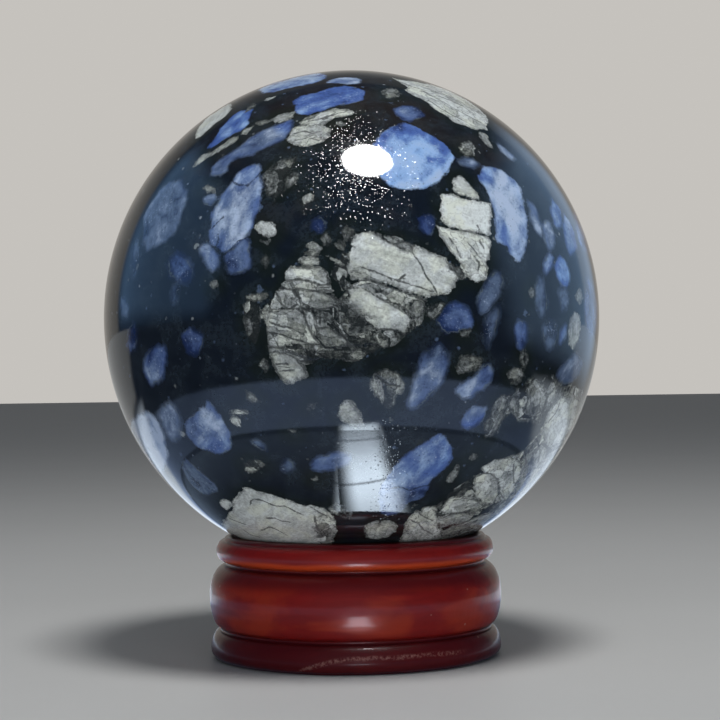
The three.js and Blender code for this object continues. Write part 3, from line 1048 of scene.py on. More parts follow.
# In millimetres. A pair is a radius and a height. The barrel's radius is a setting.
BASE_EDGE = (19.3, 0.0)
FOOT_CORNER = (19.75, 0.25)
FOOT_WIDEST = (20.5, 1.15)
LIP_WIDEST = (19.6, 15.0)
LOWER_GROOVE = {"radius": 19.15, "height": 4.2, "width": 0.5}
UPPER_GROOVE = {"radius": 18.3, "height": 13.3, "width": 0.5}
GROOVE_FLOORS = (4.15, 13.1)  # where the painted shade of the grooves is darkest
CREST_RADIUS = 0.45
CREST_MIDDLE = (18.05, 16.55)
CREST_ARC = 0.6 * math.pi  # from pointing outwards, over the top and a little inwards
SEAT_OUTER_RADIUS = 17.45
SEAT_INNER_RADIUS = 13.5
SEAT_GAP = 0.12  # between the ball and the dish
SEAT_LAND_DROP = 1.0  # from the dish's inner edge down to the bore's sloped top edge
BORE_TOP_DROP = 1.6  # and down to the straight bore
BORE_TOP_SLOPE = 0.2
BORE_RADIUS = 12.5
BORE_MIDDLE_HEIGHT = 8.0
BORE_EDGE_HEIGHT = 0.9
BORE_EDGE_RADIUS = 13.2


def groove_edges(groove):
    """The lower and the upper edge of a groove: half its width below and above its height."""
    half = groove["width"] / 2
    return (groove["radius"], groove["height"] - half), (groove["radius"], groove["height"] + half)


def oval_quarter(start, end, steps, leaves_outwards):
    """A quarter of an oval between two (radius, height) points, without its start.

    Where it leaves outwards, the radius follows a sine and the height one minus the
    cosine of an angle that rises evenly to a right angle. Otherwise they swap.
    """
    turn = np.arange(1, steps + 1) / steps * math.pi / 2
    across, along = np.sin(turn), 1.0 - np.cos(turn)
    if not leaves_outwards:
        across, along = 1.0 - np.cos(turn), np.sin(turn)
    return np.stack([start[0] + (end[0] - start[0]) * across, start[1] + (end[1] - start[1]) * along], -1)


def bead(lower, widest, upper, steps):
    """A swelling between two grooves: up to its widest place and back in."""
    return np.concatenate([
        [lower],
        oval_quarter(lower, widest, steps, True),
        oval_quarter(widest, upper, steps, False),
    ])


def stand_outline(stand, ball):
    """The stand's outline in millimetres, up the outside and down the inside.

    Foot, barrel and lip are beads between grooves with rounded floors. The crest is
    an arc, the dish is an arc about the ball's centre, and straight lines close the
    bore and the underside.
    """
    lower_bottom, lower_top = groove_edges(LOWER_GROOVE)
    upper_bottom, upper_top = groove_edges(UPPER_GROOVE)
    barrel_widest = (stand.barrel_radius / MM, (lower_top[1] + upper_bottom[1]) / 2)
    crest_start = (CREST_MIDDLE[0] + CREST_RADIUS, CREST_MIDDLE[1])

    base = np.concatenate([[BASE_EDGE], oval_quarter(BASE_EDGE, FOOT_CORNER, 5, True)[:-1]])
    foot = bead(FOOT_CORNER, FOOT_WIDEST, lower_bottom, steps=22)
    barrel = bead(lower_top, barrel_widest, upper_bottom, steps=40)
    lip = bead(upper_top, LIP_WIDEST, crest_start, steps=18)
    turn = np.linspace(0, CREST_ARC, 9)[1:, None]
    crest = np.array(CREST_MIDDLE) + CREST_RADIUS * np.hstack([np.cos(turn), np.sin(turn)])

    seat_radius = np.linspace(SEAT_OUTER_RADIUS, SEAT_INNER_RADIUS, 14)
    reach = ball.radius / MM + SEAT_GAP
    seat_height = ball.centre_height / MM - np.sqrt(reach**2 - seat_radius**2)
    seat = np.stack([seat_radius, seat_height], -1)
    bore = [
        (BORE_RADIUS + BORE_TOP_SLOPE, seat_height[-1] - SEAT_LAND_DROP),
        (BORE_RADIUS, seat_height[-1] - BORE_TOP_DROP),
        (BORE_RADIUS, BORE_MIDDLE_HEIGHT),
        (BORE_RADIUS, BORE_EDGE_HEIGHT),
        (BORE_EDGE_RADIUS, 0.0),
    ]
    underside_radius = np.linspace(BORE_EDGE_RADIUS, BASE_EDGE[0], 6)[1:-1]
    underside = np.stack([underside_radius, np.zeros(len(underside_radius))], -1)
    return np.concatenate([base, foot, barrel, lip, crest, seat, bore, underside])


def turners_faults(around, height):
    """How far the stand's outside strays from its outline, in millimetres.

    The sum of cosines of two and three times the turn, for the wood's warp, of fine
    sines of the height, for tool marks, and of sines of the turn, for the worn lower
    edge. These last fade upwards with the square of the height left to their top.
    """
    out_of_round = 0.05 * np.cos(2 * around + 0.7) + 0.03 * np.cos(3 * around + 2.0)
    tool_marks = 0.004 * np.sin(height * 5.0 + 0.6 * np.sin(around)) + 0.002 * np.sin(height * 13.0)
    worn_height = 1.6
    worn_depth = 0.12
    low = np.clip(1.0 - height / worn_height, 0.0, 1.0) ** 2
    uneven = 0.10 * np.sin(3 * around + 0.4) + 0.07 * np.sin(7 * around + 1.3) + 0.05 * np.sin(13 * around)
    return out_of_round + tool_marks + low * (uneven - worn_depth)


def make_stand(settings, ball):
    """The stand's mesh: its outline carried round the axis, with a turner's small faults.

    A point's place is its radius times the cosine and the sine of the turn, and its
    height. The painted shade of the grooves and the outside are marked on the vertices.
    """
    outline = stand_outline(settings, ball)
    steps = settings.turn_steps
    rows = len(outline)
    around = (np.arange(steps) / steps * 2.0 * math.pi)[:, None]
    height = np.broadcast_to(outline[:, 1], (steps, rows))
    outside = (np.arange(rows) < np.argmax(outline[:, 1])).astype(float)
    radius = outline[:, 0] + outside * turners_faults(around, height)
    points = np.stack([radius * np.cos(around), radius * np.sin(around), height], -1).reshape(-1, 3)
    here = np.arange(steps)[:, None] * rows + np.arange(rows)[None, :]
    after = np.roll(here, -1, axis=0)
    corners = [here, after, np.roll(after, -1, axis=1), np.roll(here, -1, axis=1)]
    stand = mesh_object("turned_stand", points * MM, np.stack(corners, -1).reshape(-1, 4))

    # Painted shade in the grooves, strongest on their floors
    groove_reach = 0.38
    groove = sum(np.exp(-(((height - level) / groove_reach) ** 2)) for level in GROOVE_FLOORS)
    add_attribute(stand, "groove", (groove * outside).ravel())
    add_attribute(stand, "outside", np.broadcast_to(outside, (steps, rows)).ravel())
    return stand


# Shaders


class Wire:
    """A shader value that Python's arithmetic works on: each operator adds a Math node."""

    def __init__(self, graph, socket):
        self.graph = graph
        self.socket = socket

    def math(self, operation, *others):
        """A Math node with this value first."""
        return self.graph.math(operation, self, *others)

    def __add__(self, other):
        return self.math("ADD", other)

    def __sub__(self, other):
        return self.math("SUBTRACT", other)

    def __mul__(self, other):
        return self.math("MULTIPLY", other)

    def __truediv__(self, other):
        return self.math("DIVIDE", other)

    def __lt__(self, other):
        return self.math("LESS_THAN", other)

    def __rsub__(self, other):
        return self.graph.math("SUBTRACT", other, self)

    def __neg__(self):
        return self.math("MULTIPLY", -1.0)

    def __abs__(self):
        return self.math("ABSOLUTE")

    def __pow__(self, other):
        return self.math("POWER", other)

    __radd__ = __add__
    __rmul__ = __mul__

    def clamped(self):
        """The value kept between 0 and 1."""
        return self.graph.node("ShaderNodeClamp", {}, {"Value": self})

    def step(self, low, high):
        """0 below low and 1 above high, with a smooth rise between. Low may be above high."""
        return self.graph.node(
            "ShaderNodeMapRange",
            {"interpolation_type": "SMOOTHSTEP"},
            {"Value": self, "From Min": low, "From Max": high},
        )


class Graph:
    """Builds a node tree, one node from each call."""

    def __init__(self, tree):
        self.tree = tree
        tree.nodes.clear()

    def node(self, kind, settings, inputs, output=0):
        """Adds a node of a type: its settings are set first, then its sockets.

        Returns the named output, or one for each name in a tuple of them.
        """
        made = self.tree.nodes.new(kind)
        for name, value in settings.items():
            setattr(made, name, value)
        for name, value in inputs.items():
            if isinstance(value, Wire):
                self.tree.links.new(value.socket, made.inputs[name])
            else:
                made.inputs[name].default_value = value
        if isinstance(output, tuple):
            return tuple(Wire(self, made.outputs[name]) for name in output)
        return Wire(self, made.outputs[output]) if len(made.outputs) else None

    def math(self, operation, *values):
        """A Math node on values or links."""
        return self.node("ShaderNodeMath", {"operation": operation}, dict(enumerate(values)))

    def largest(self, *values):
        """The largest of several values."""
        most, *others = values
        for value in others:
            most = self.math("MAXIMUM", most, value)
        return most

    def mix(self, share, first, second):
        """A colour between two, by a share of the second."""
        ends = [value if isinstance(value, Wire) else (*value[:3], 1.0) for value in (first, second)]
        return self.node("ShaderNodeMix", {"data_type": "RGBA"}, {0: share, 6: ends[0], 7: ends[1]}, 2)

    def scale(self, vector, factor):
        """A vector times one number, or times one for each axis."""
        factors = factor if isinstance(factor, tuple) else (factor,) * 3
        return self.node("ShaderNodeVectorMath", {"operation": "MULTIPLY"}, {0: vector, 1: factors})

    def parts(self, vector):
        """The three components of a vector."""
        return self.node("ShaderNodeSeparateXYZ", {}, {"Vector": vector}, ("X", "Y", "Z"))

    def place(self):
        """The place on the object, in millimetres."""
        metres = self.node("ShaderNodeTexCoord", {}, {}, "Object")
        return self.scale(metres, 1.0 / MM)

    def attribute(self, name, output="Fac"):
        """What the mesh's vertices store under a name."""
        return self.node("ShaderNodeAttribute", {"attribute_name": name}, {}, output)

    def noise(self, vector, per_mm, detail=2.0, roughness=0.5, distortion=0.0, output="Fac"):
        """Noise whose blobs are about one over per_mm across; its values lie about 0.5."""
        inputs = {
            "Vector": vector, "Scale": per_mm, "Detail": detail, "Roughness": roughness,
            "Distortion": distortion,
        }
        return self.node("ShaderNodeTexNoise", {}, inputs, output)

    def pushed(self, vector, per_mm, reach):
        """The vector pushed about by noise, up to about half the reach each way."""
        push = self.noise(vector, per_mm, 1.0, output="Color")
        middle = (0.5, 0.5, 0.5)
        centred = self.node("ShaderNodeVectorMath", {"operation": "SUBTRACT"}, {0: push, 1: middle})
        return self.node(
            "ShaderNodeVectorMath", {"operation": "MULTIPLY_ADD"}, {0: centred, 1: (reach,) * 3, 2: vector}
        )

    def cells(self, vector, per_mm, feature="F1", output="Distance"):
        """Voronoi cells; distances are in cell sizes."""
        inputs = {"Vector": vector, "Scale": per_mm}
        return self.node("ShaderNodeTexVoronoi", {"feature": feature}, inputs, output)

    def bump(self, height, distance, strength=1.0):
        """Normals as if the surface stood up by the height times the distance, in metres."""
        inputs = {"Height": height, "Distance": distance, "Strength": strength}
        return self.node("ShaderNodeBump", {}, inputs)

    def surface(self, **inputs):
        """The finished surface. Names are the shader's sockets with underscores for spaces."""
        sockets = {name.replace("_", " "): value for name, value in inputs.items()}
        shader = self.node("ShaderNodeBsdfPrincipled", {}, sockets)
        self.node("ShaderNodeOutputMaterial", {}, {"Surface": shader})


def new_material(name):
    """An empty material and the graph that builds it."""
    material = bpy.data.materials.new(name)
    material.use_nodes = True
    return material, Graph(material.node_tree)


def polished_stone(settings):
    """Near-black stone with blue crystals, grey feldspar and crumbs, all under one polish."""
    material, g = new_material("polished_stone")
    place = g.place()
    rough = g.noise(place, 3.2, 3.0, 0.62) - 0.5
    wobble = (g.noise(place, 0.7, 1.0) - 0.5) * 1.1 + rough * 0.9
    mottle = g.noise(place, 2.1, 4.0, 0.70)
    broad = g.noise(place, 0.30, 3.0, 0.60, 0.4)
    grey_distance = g.attribute("grey_edge") + wobble * 0.75
    seam_distance = g.attribute("crystal_seam") + rough * 0.40
    crack_side = abs(g.attribute("crystal_crack_side") + wobble * 0.35)
    crack_side = crack_side + (g.noise(place, 1.1, 2.0) - 0.5) * 0.34
    crack = crack_side.step(0.20, 0.02) * g.attribute("crystal_crack_distance").step(0.46, 0.25)
    crack = crack * mottle.step(0.34, 0.48)

    ground = dark_ground(g, settings, place, broad, mottle, grey_distance)
    blue, blue_mask = blue_crystals(g, settings, place, wobble, seam_distance, crack)
    colour = g.mix(blue_mask, ground, blue)
    grey, grey_mask, cracks = grey_feldspar(
        g, settings, place, broad, mottle, grey_distance, seam_distance, crack
    )
    colour = g.mix(grey_mask, colour, grey)

    # The polish, with fine pits that glitter where it is less good
    pitted = g.attribute("crystal_pitted")
    pits_per_mm = 3.3
    pit_distance, pit_chance = g.cells(place, pits_per_mm, output=("Distance", "Color"))
    chosen, size, _ = g.parts(pit_chance)
    pits = (pit_distance / pits_per_mm / (0.085 + size * 0.075)).step(1.0, 0.0) * (chosen < pitted * 0.70)
    height = -pits - crack * grey_mask * 0.50 + rough * 0.08
    g.surface(
        Base_Color=colour,
        Roughness=settings.polish + cracks * grey_mask * 0.25,
        IOR=1.54,
        Normal=g.bump(height, 0.03 * MM),
    )
    return material


def dark_ground(g, settings, place, broad, mottle, grey_distance):
    """The dark stone: brown at the crown, greenish near feldspar, with slate clouds and crumbs."""
    _, _, height = g.parts(place)
    brown = (height + (g.noise(place, 0.08, 2.0) - 0.5) * 26.0).step(66.0, 75.0)
    ground = g.mix(brown, settings.matrix_colour, settings.matrix_brown)
    ground = g.mix(grey_distance.step(2.4, 0.2) * 0.85, ground, settings.matrix_green)
    clouds = broad.step(0.41, 0.66) * mottle.step(0.26, 0.66)
    ground = g.mix(clouds * 0.80, ground, settings.matrix_slate)
    haze = g.noise(place, 0.16, 3.0, 0.60, 0.5).step(0.50, 0.68) * mottle.step(0.10, 0.62)
    ground = g.mix(haze * height.step(52.0, 66.0) * 0.70, ground, settings.matrix_haze)
    for per_mm, size in ((0.36, 0.52), (1.05, 0.22)):
        distance, chance = g.cells(place, per_mm, output=("Distance", "Color"))
        chosen, pale, bluish = g.parts(chance)
        radius = (chosen - 0.64) * size * 2.6
        crumb = (distance / per_mm + (mottle - 0.5) * size * 3.0 - radius).step(0.10, -0.10)
        crumb_colour = g.mix(bluish.step(0.45, 0.60), settings.feldspar_dull, settings.blue_dull)
        crumb_colour = g.mix(pale.step(0.6, 1.0) * 0.5, crumb_colour, settings.feldspar_pale)
        ground = g.mix(crumb * 0.55, ground, crumb_colour)
    return ground


def blue_crystals(g, settings, place, wobble, seam_distance, crack):
    """Cloudy blue crystals with gritty patches of white flecks and dark specks.

    The shade runs from dark to pale, and the purity from a dull to a strong blue.
    """
    tone = g.attribute("crystal_tone")
    tint = g.attribute("crystal_tint")
    soft = g.attribute("crystal_soft")
    grain = g.attribute("crystal_grain", "Vector")
    distance = g.attribute("blue_edge") + wobble * 0.85
    cloud = g.noise(g.scale(grain, (0.34, 0.46, 1.0)), 1.0, 3.0, 0.52, 0.3)
    fine = g.noise(place, 3.2, 3.0, 0.74)
    gritty = g.noise(grain, 0.42, 1.0).step(0.44, 0.62)
    shade = (tone + (cloud - 0.5) * 1.6 + (fine - 0.5) * 0.34 - distance.step(-0.7, 0.1) * 0.12).clamped()
    purity = (tint - 0.06 + (0.5 - cloud) * 1.2 + distance.step(-1.2, -0.2) * 0.10 - gritty * 0.10).clamped()
    dull = g.mix(shade.step(0.0, 0.5), settings.blue_black, settings.blue_dull)
    dull = g.mix(shade.step(0.42, 1.0), dull, settings.blue_milky)
    pure = g.mix(shade.step(0.0, 0.5), settings.blue_deep, settings.blue_middle)
    pure = g.mix(shade.step(0.42, 1.0), pure, settings.blue_light)
    blue = g.mix(purity, dull, pure)
    blue = g.mix(fine.step(0.58, 0.70) * gritty * 0.60, blue, settings.blue_fleck)
    blue = g.mix(fine.step(0.40, 0.30) * 0.55, blue, settings.blue_black)
    rim = abs(distance + 0.04).step(0.13, 0.03) * g.noise(place, 0.35, 1.0).step(0.50, 0.62)
    blue = g.mix(rim * 0.45, blue, settings.blue_rim)
    lines = g.largest(crack * 0.8, seam_distance.step(0.14, 0.02) * 0.45)
    blue = g.mix(lines, blue, settings.blue_black)
    fade = distance / (soft + 0.10)
    return blue, fade.step(0.75, -0.75)


def grey_feldspar(g, settings, place, broad, mottle, distance, seam_distance, crack):
    """Pale cleaved feldspar, from whole blocks to rubble of unlike fragments.

    Long streaks run along each crystal. The more broken it is, the more its fragments
    differ in tone. Gives the colour, where it shows and where it is cracked.
    """
    tone = g.attribute("crystal_tone")
    broken = g.attribute("crystal_tint")
    soft = g.attribute("crystal_soft")
    grain = g.attribute("crystal_grain", "Vector")
    mask = ((distance - 0.08) / (soft + 0.12)).step(0.5, -0.5)
    bent = g.pushed(grain, 0.30, 1.6)
    layers = g.noise(g.scale(bent, (0.16, 0.80, 1.0)), 1.0, 5.0, 0.66, 0.2)
    shattered = g.scale(g.pushed(grain, 1.1, 0.9), (0.75, 1.20, 1.0))
    fragments = g.cells(shattered, 0.62, output="Color")
    gaps = g.cells(shattered, 0.62, "DISTANCE_TO_EDGE")
    fragment_tone, fragment_warmth, _ = g.parts(fragments)
    fine = g.noise(place, 3.4, 2.0, 0.72)
    shade = (
        tone - 0.02 + (layers - 0.5) * (0.75 + broken * 0.3) + (mottle - 0.5) * (0.70 + broken * 0.35)
        + (fine - 0.5) * 0.38 + (fragment_tone - 0.5) * broken * 0.95 + (broad - 0.5) * (0.30 + broken * 0.4)
    ).clamped() ** 1.6
    grey = g.mix(shade, settings.feldspar_dull, settings.feldspar_pale)
    warm = (broad + (fragment_warmth - 0.5) * broken * 0.3).step(0.44, 0.62)
    grey = g.mix(warm * 0.42, grey, g.mix(shade, settings.feldspar_dull, settings.feldspar_warm))

    # Dark lines: cleavage along the streaks, cracks, the seams between crystals, and pocks
    strokes = g.noise(g.scale(bent, (0.28, 1.60, 1.0)), 1.0, 3.0, 0.60, 0.3)
    cleavage = g.largest(
        abs(layers - 0.47).step(0.016, 0.003) * mottle.step(0.46, 0.58),
        abs(strokes - 0.47).step(0.030, 0.006) * mottle.step(0.50, 0.40) * broken.step(0.15, 0.40),
    )
    gaps = gaps.step(0.050, 0.008) * broken.step(0.15, 0.60) * mottle.step(0.62, 0.48)
    seams = seam_distance.step(0.19, 0.02) * mottle.step(0.28, 0.46)
    pocks = fine.step(0.36, 0.26) * mottle.step(0.58, 0.44)
    hollows = (broad * 0.5 + mottle * 0.5).step(0.46, 0.38) * broken.step(0.1, 0.9)
    margin = distance.step(-0.55, 0.05) * mottle.step(0.60, 0.42)
    cracks = g.largest(cleavage * (0.25 + broken * 0.75), crack, g.largest(seams, gaps) * 0.8)
    dirt = g.largest(cracks, hollows * 0.75, margin * 0.7, pocks * 0.6)
    return g.mix(dirt * 0.90, grey, settings.feldspar_crack), mask, cracks


def lacquered_wood(settings):
    """Turned wood under deep red gloss lacquer: thin, with painted light from below, on the lip's edge; worn
    at the foot.
    """
    material, g = new_material("lacquered_wood")
    place = g.place()
    across, depth, height = g.parts(place)
    groove = g.attribute("groove")
    outside = g.attribute("outside")

    # Grain runs across the ring, so it shows as faint streaks and broad paler patches
    streaks = g.noise(g.scale(place, (0.10, 0.8, 1.1)), 1.0, 3.0, 0.55, 0.3)
    patches = g.noise(g.scale(place, (0.10, 0.10, 0.22)), 1.0, 3.0, 0.50, 0.6)
    colour = g.mix((streaks - 0.5) * 0.5 + 0.70, settings.lacquer_dark, settings.lacquer_red)
    barrel = height.step(12.2, 9.5) * height.step(4.4, 5.2)
    colour = g.mix(patches.step(0.44, 0.66) * (0.10 + barrel * 0.24), colour, settings.lacquer_orange)
    # The lip's lower edge is paler orange: thin lacquer, with painted light from the glare below
    edge_height = height + (g.noise(place, 0.15, 1.0) - 0.5) * 0.5 - settings.lip_edge_height / MM
    thin = abs(edge_height).step(0.75, 0.20)
    colour = g.mix(thin * 0.85, colour, settings.lacquer_orange)
    # Painted shade darkens the barrel's top under the lip; below the lower groove the foot is darker too
    under_lip_shade = height.step(10.2, 11.8) * height.step(13.6, 13.1)
    low = height.step(4.6, 3.8)
    colour = g.mix(g.largest(low * 0.75, under_lip_shade * 0.55), colour, settings.lacquer_dark)
    # Painted shade in the grooves, and a painted contact shadow on the crest under the ball
    crest = height.step(16.1, 16.7)
    colour = g.mix(g.largest(groove.clamped() * 0.80, crest * 0.75), colour, settings.lacquer_dark)

    # A scuffed line round the front of the foot, and a few bare specks
    left_end = g.math("MINIMUM", (across - 1.0) / 8.0, 0.0)
    line_height = 2.35 - left_end * left_end * 1.6 + (g.noise(place, 0.35, 2.0) - 0.5) * 0.6
    front = (-depth).step(12.0, 16.0) * abs(across - 3.0).step(12.5, 9.0)
    ragged = g.noise(place, 2.6, 3.0, 0.7)
    worn = abs(height - line_height).step(0.42, 0.05) * front * ragged.step(0.38, 0.66)
    speck_cells = 0.30
    specks = (g.cells(place, speck_cells) / speck_cells).step(0.22, 0.10)
    scuffs = g.largest(worn * 0.50, specks * 0.7)
    colour = g.mix(scuffs, colour, settings.scuffed)
    grain = g.noise(g.scale(place, (0.12, 1.2, 1.2)), 1.3, 3.0, 0.6)
    bare = g.mix(grain, settings.lacquer_dark, settings.bare_wood)
    colour = g.mix(outside, bare, colour)

    relief = (g.noise(place, 0.45, 2.0) - 0.5) * 1.4 + (ragged - 0.5) * 0.10 + scuffs * 0.5
    g.surface(
        Base_Color=colour,
        Roughness=0.62 - outside * 0.26 + scuffs * 0.3,
        Coat_Weight=outside * (1.0 - scuffs * 0.7) * 0.34,
        Coat_Roughness=0.11,
        Coat_IOR=1.38,
        Specular_IOR_Level=0.2,
        IOR=1.5,
        Normal=g.bump(relief, 0.04 * MM),
    )
    return material


def plain_floor(settings):
    """A pale floor with a trace of mottling.

    In polished things it glows with a painted reflection, as a small table would show:
    dark close by, then a broad bright ring with a dark line just inside its edge,
    brightest behind the object.
    """
    material, g = new_material("plain_floor")
    place = g.place()
    mottle = g.noise(place, 0.02, 3.0)
    colour = g.mix(mottle, settings.floor_colour, [c * 1.06 for c in settings.floor_colour])
    across, depth, _ = g.parts(place)
    radius = (across * across + depth * depth) ** 0.5
    ahead = depth / radius
    black = (0.0, 0.0, 0.0)
    dark = (0.03, 0.04, 0.06)
    close_grey = (0.21, 0.29, 0.42)
    side_blue = (0.24, 0.34, 0.55)
    ring_blue = (0.48, 0.66, 1.05)
    line_blue = (0.10, 0.14, 0.22)
    far_grey = (0.40, 0.41, 0.41)
    bright = (1.15, 1.32, 1.52)

    # In millimetres from the axis, where each part of the mirrored floor begins and ends
    close = g.mix(radius.step(28.0, 54.0), dark, close_grey)
    ring = g.mix(abs(ahead).step(0.25, 0.70), side_blue, ring_blue)
    mirrored = g.mix(radius.step(58.5, 60.0) * radius.step(112.0, 104.0), close, ring)
    mirrored = g.mix(radius.step(104.0, 112.0), mirrored, dark)
    mirrored = g.mix(radius.step(55.5, 57.0) * radius.step(59.5, 58.5), mirrored, line_blue)
    far = ahead.step(0.46, 0.54) * radius.step(150.0, 180.0)
    mirrored = g.mix(far, mirrored, far_grey)
    behind = (depth + across * 0.25).step(18.0, 32.0) * radius.step(62.0, 74.0) * radius.step(160.0, 122.0)
    mirrored = g.mix(behind, mirrored, bright)
    # Painted reflection: for mirrored rays the floor is black and glows with these colours
    is_mirrored = g.node("ShaderNodeLightPath", {}, {}, "Is Glossy Ray")
    g.surface(
        Base_Color=g.mix(is_mirrored, colour, black),
        Emission_Color=g.mix(is_mirrored, black, mirrored),
        Emission_Strength=1.0,
        Roughness=0.5,
        IOR=1.5,
        Specular_IOR_Level=0.2,
    )
    material.cycles.emission_sampling = "NONE"
    return material


# Operators


class STONEBALL_OT_camera(bpy.types.Operator):
    """Places the camera where the photograph was taken from"""

    bl_idname = "stone_ball.add_camera"
    bl_label = "Add Camera"

    def execute(self, context):
        sight = Sight(stage_settings())
        lens = bpy.data.cameras.new("camera")
        lens.sensor_width = SENSOR_WIDTH
        lens.lens = sight.focal / PHOTO_SIZE * SENSOR_WIDTH
        lens.clip_start = 0.005
        lens.clip_end = 50.0
        camera = bpy.data.objects.new("camera", lens)
        columns = (sight.right, sight.up, -sight.ahead, sight.place)
        camera.matrix_world = Matrix([*zip(*columns), (0.0, 0.0, 0.0, 1.0)])
        context.scene.collection.objects.link(camera)
        context.scene.camera = camera
        return {"FINISHED"}


class STONEBALL_OT_ball(bpy.types.Operator):
    """Adds the polished ball with its crystals"""

    bl_idname = "stone_ball.add_ball"
    bl_label = "Add Ball"

    def execute(self, context):
        ball = make_ball(ball_settings(), Sight(stage_settings()))
        ball.data.materials.append(polished_stone(ball_settings()))
        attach(ball, "root")
        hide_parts("stone_ball")
        return {"FINISHED"}


class STONEBALL_OT_stand(bpy.types.Operator):
    """Adds the turned and lacquered ring stand"""

    bl_idname = "stone_ball.add_stand"
    bl_label = "Add Stand"

    def execute(self, context):
        stand = make_stand(stand_settings(), ball_settings())
        stand.data.materials.append(lacquered_wood(stand_settings()))
        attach(stand, "root")
        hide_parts("ring_stand")
        return {"FINISHED"}


class STONEBALL_OT_stage(bpy.types.Operator):
    """Adds the plain floor, the lamp above and the soft light of the room"""

    bl_idname = "stone_ball.add_stage"
    bl_label = "Add Stage"

    def execute(self, context):
        add_floor(stage_settings())
        add_lamp(stage_settings(), ball_settings())
        add_soft_lights(bpy.data.objects["polished_ball"], bpy.data.objects["turned_stand"])
        add_room_light(context.scene, stage_settings())
        context.scene.view_settings.view_transform = "Standard"
        return {"FINISHED"}


def add_floor(stage):
    """A square floor, wide enough to pass for endless."""
    half = 6.0
    corners = np.array([[-half, -half, 0], [half, -half, 0], [half, half, 0], [-half, half, 0]])
    floor = mesh_object("floor", corners, np.array([[0, 1, 2, 3]]))
    floor.data.materials.append(plain_floor(stage))


def area_light(name, place, target, size, radiance, colour=(1.0, 1.0, 1.0), edges=None, bars=(), turn=0.0):
    """A light of a given radiance that faces a target and that the camera doesn't see.

    It is a disc, or a rectangle where the size is a pair. The edges are the shares of
    a rectangle's width and height over which its light fades out, and thin dark bars
    cross it at shares of its height. It is turned about its own line of sight. Its
    energy is the radiance times its area times pi.
    """
    bar_light = 0.35  # the share that a bar lets through
    bar_edge = (0.004, 0.013)
    light = bpy.data.lights.new(name, "AREA")
    if isinstance(size, tuple):
        light.shape = "RECTANGLE"
        light.size, light.size_y = size
        area = size[0] * size[1]
    else:
        light.shape = "DISK"
        light.size = size
        area = math.pi * size**2 / 4
    light.energy = radiance * area * math.pi
    light.color = colour
    if edges:
        light.use_nodes = True
        g = Graph(light.node_tree)
        across, along, _ = g.parts(g.node("ShaderNodeNewGeometry", {}, {}, "Parametric"))
        fades = [(0.5 - abs(side - 0.5)).step(0.0, edge) for side, edge in zip((across, along), edges)]
        strength = fades[0] * fades[1]
        for bar in bars:
            strength = strength * (bar_light + abs(along - bar).step(*bar_edge) * (1.0 - bar_light))
        emission = g.node("ShaderNodeEmission", {}, {"Strength": strength}, "Emission")
        g.node("ShaderNodeOutputLight", {}, {"Surface": emission})
    made = bpy.data.objects.new(name, light)
    made.location = place
    made.rotation_mode = "QUATERNION"
    facing = (Vector(place) - Vector(target)).to_track_quat("Z", "Y")
    made.rotation_quaternion = facing @ Quaternion((0.0, 0.0, 1.0), turn)
    made.visible_camera = False
    bpy.context.scene.collection.objects.link(made)
    return made


def add_lamp(stage, ball):
    """A round lamp above, hung where the ball mirrors it at the glint's place.

    Its mirror image and its light on the scene are two lights, so that each has its
    own brightness.
    """
    glint = np.array([(367.0, 160.0)])  # in pixels
    lamp_distance = 0.50
    lamp_width = 0.155
    sight = Sight(stage)
    centre = np.array([0.0, 0.0, ball.centre_height])
    outwards = sight.on_ball(glint, centre, ball.radius)[0]
    ray = sight.rays(glint)[0]
    mirrored = ray - 2.0 * (ray @ outwards) * outwards
    glint_place = centre + outwards * ball.radius
    lamp_place = glint_place + mirrored * lamp_distance
    image = area_light("lamp_image", lamp_place, glint_place, lamp_width, stage.lamp_image_radiance)
    image.visible_diffuse = False
    lamp = area_light("lamp", lamp_place, glint_place, lamp_width, stage.lamp_radiance)
    lamp.visible_glossy = False


def seen_from_ball(azimuth, elevation, distance):
    """A place by its direction and distance from the ball's middle.

    The azimuth is in degrees to the right of straight behind the ball, and the
    elevation in degrees above the level. The offset is the distance times (sin a cos e,
    cos a cos e, sin e).
    """
    turn = math.radians(azimuth)
    rise = math.radians(elevation)
    across = math.sin(turn) * math.cos(rise) * distance
    ahead = math.cos(turn) * math.cos(rise) * distance
    middle_height = (BALL_BOX[0].z + BALL_BOX[1].z) / 2
    return across, ahead, middle_height + math.sin(rise) * distance


def shine_only_on(light, receiver):
    """Keeps a light's shine to one object."""
    group = bpy.data.collections.new(f"{light.name}_receiver")
    group.objects.link(receiver)
    light.light_linking.receiver_collection = group


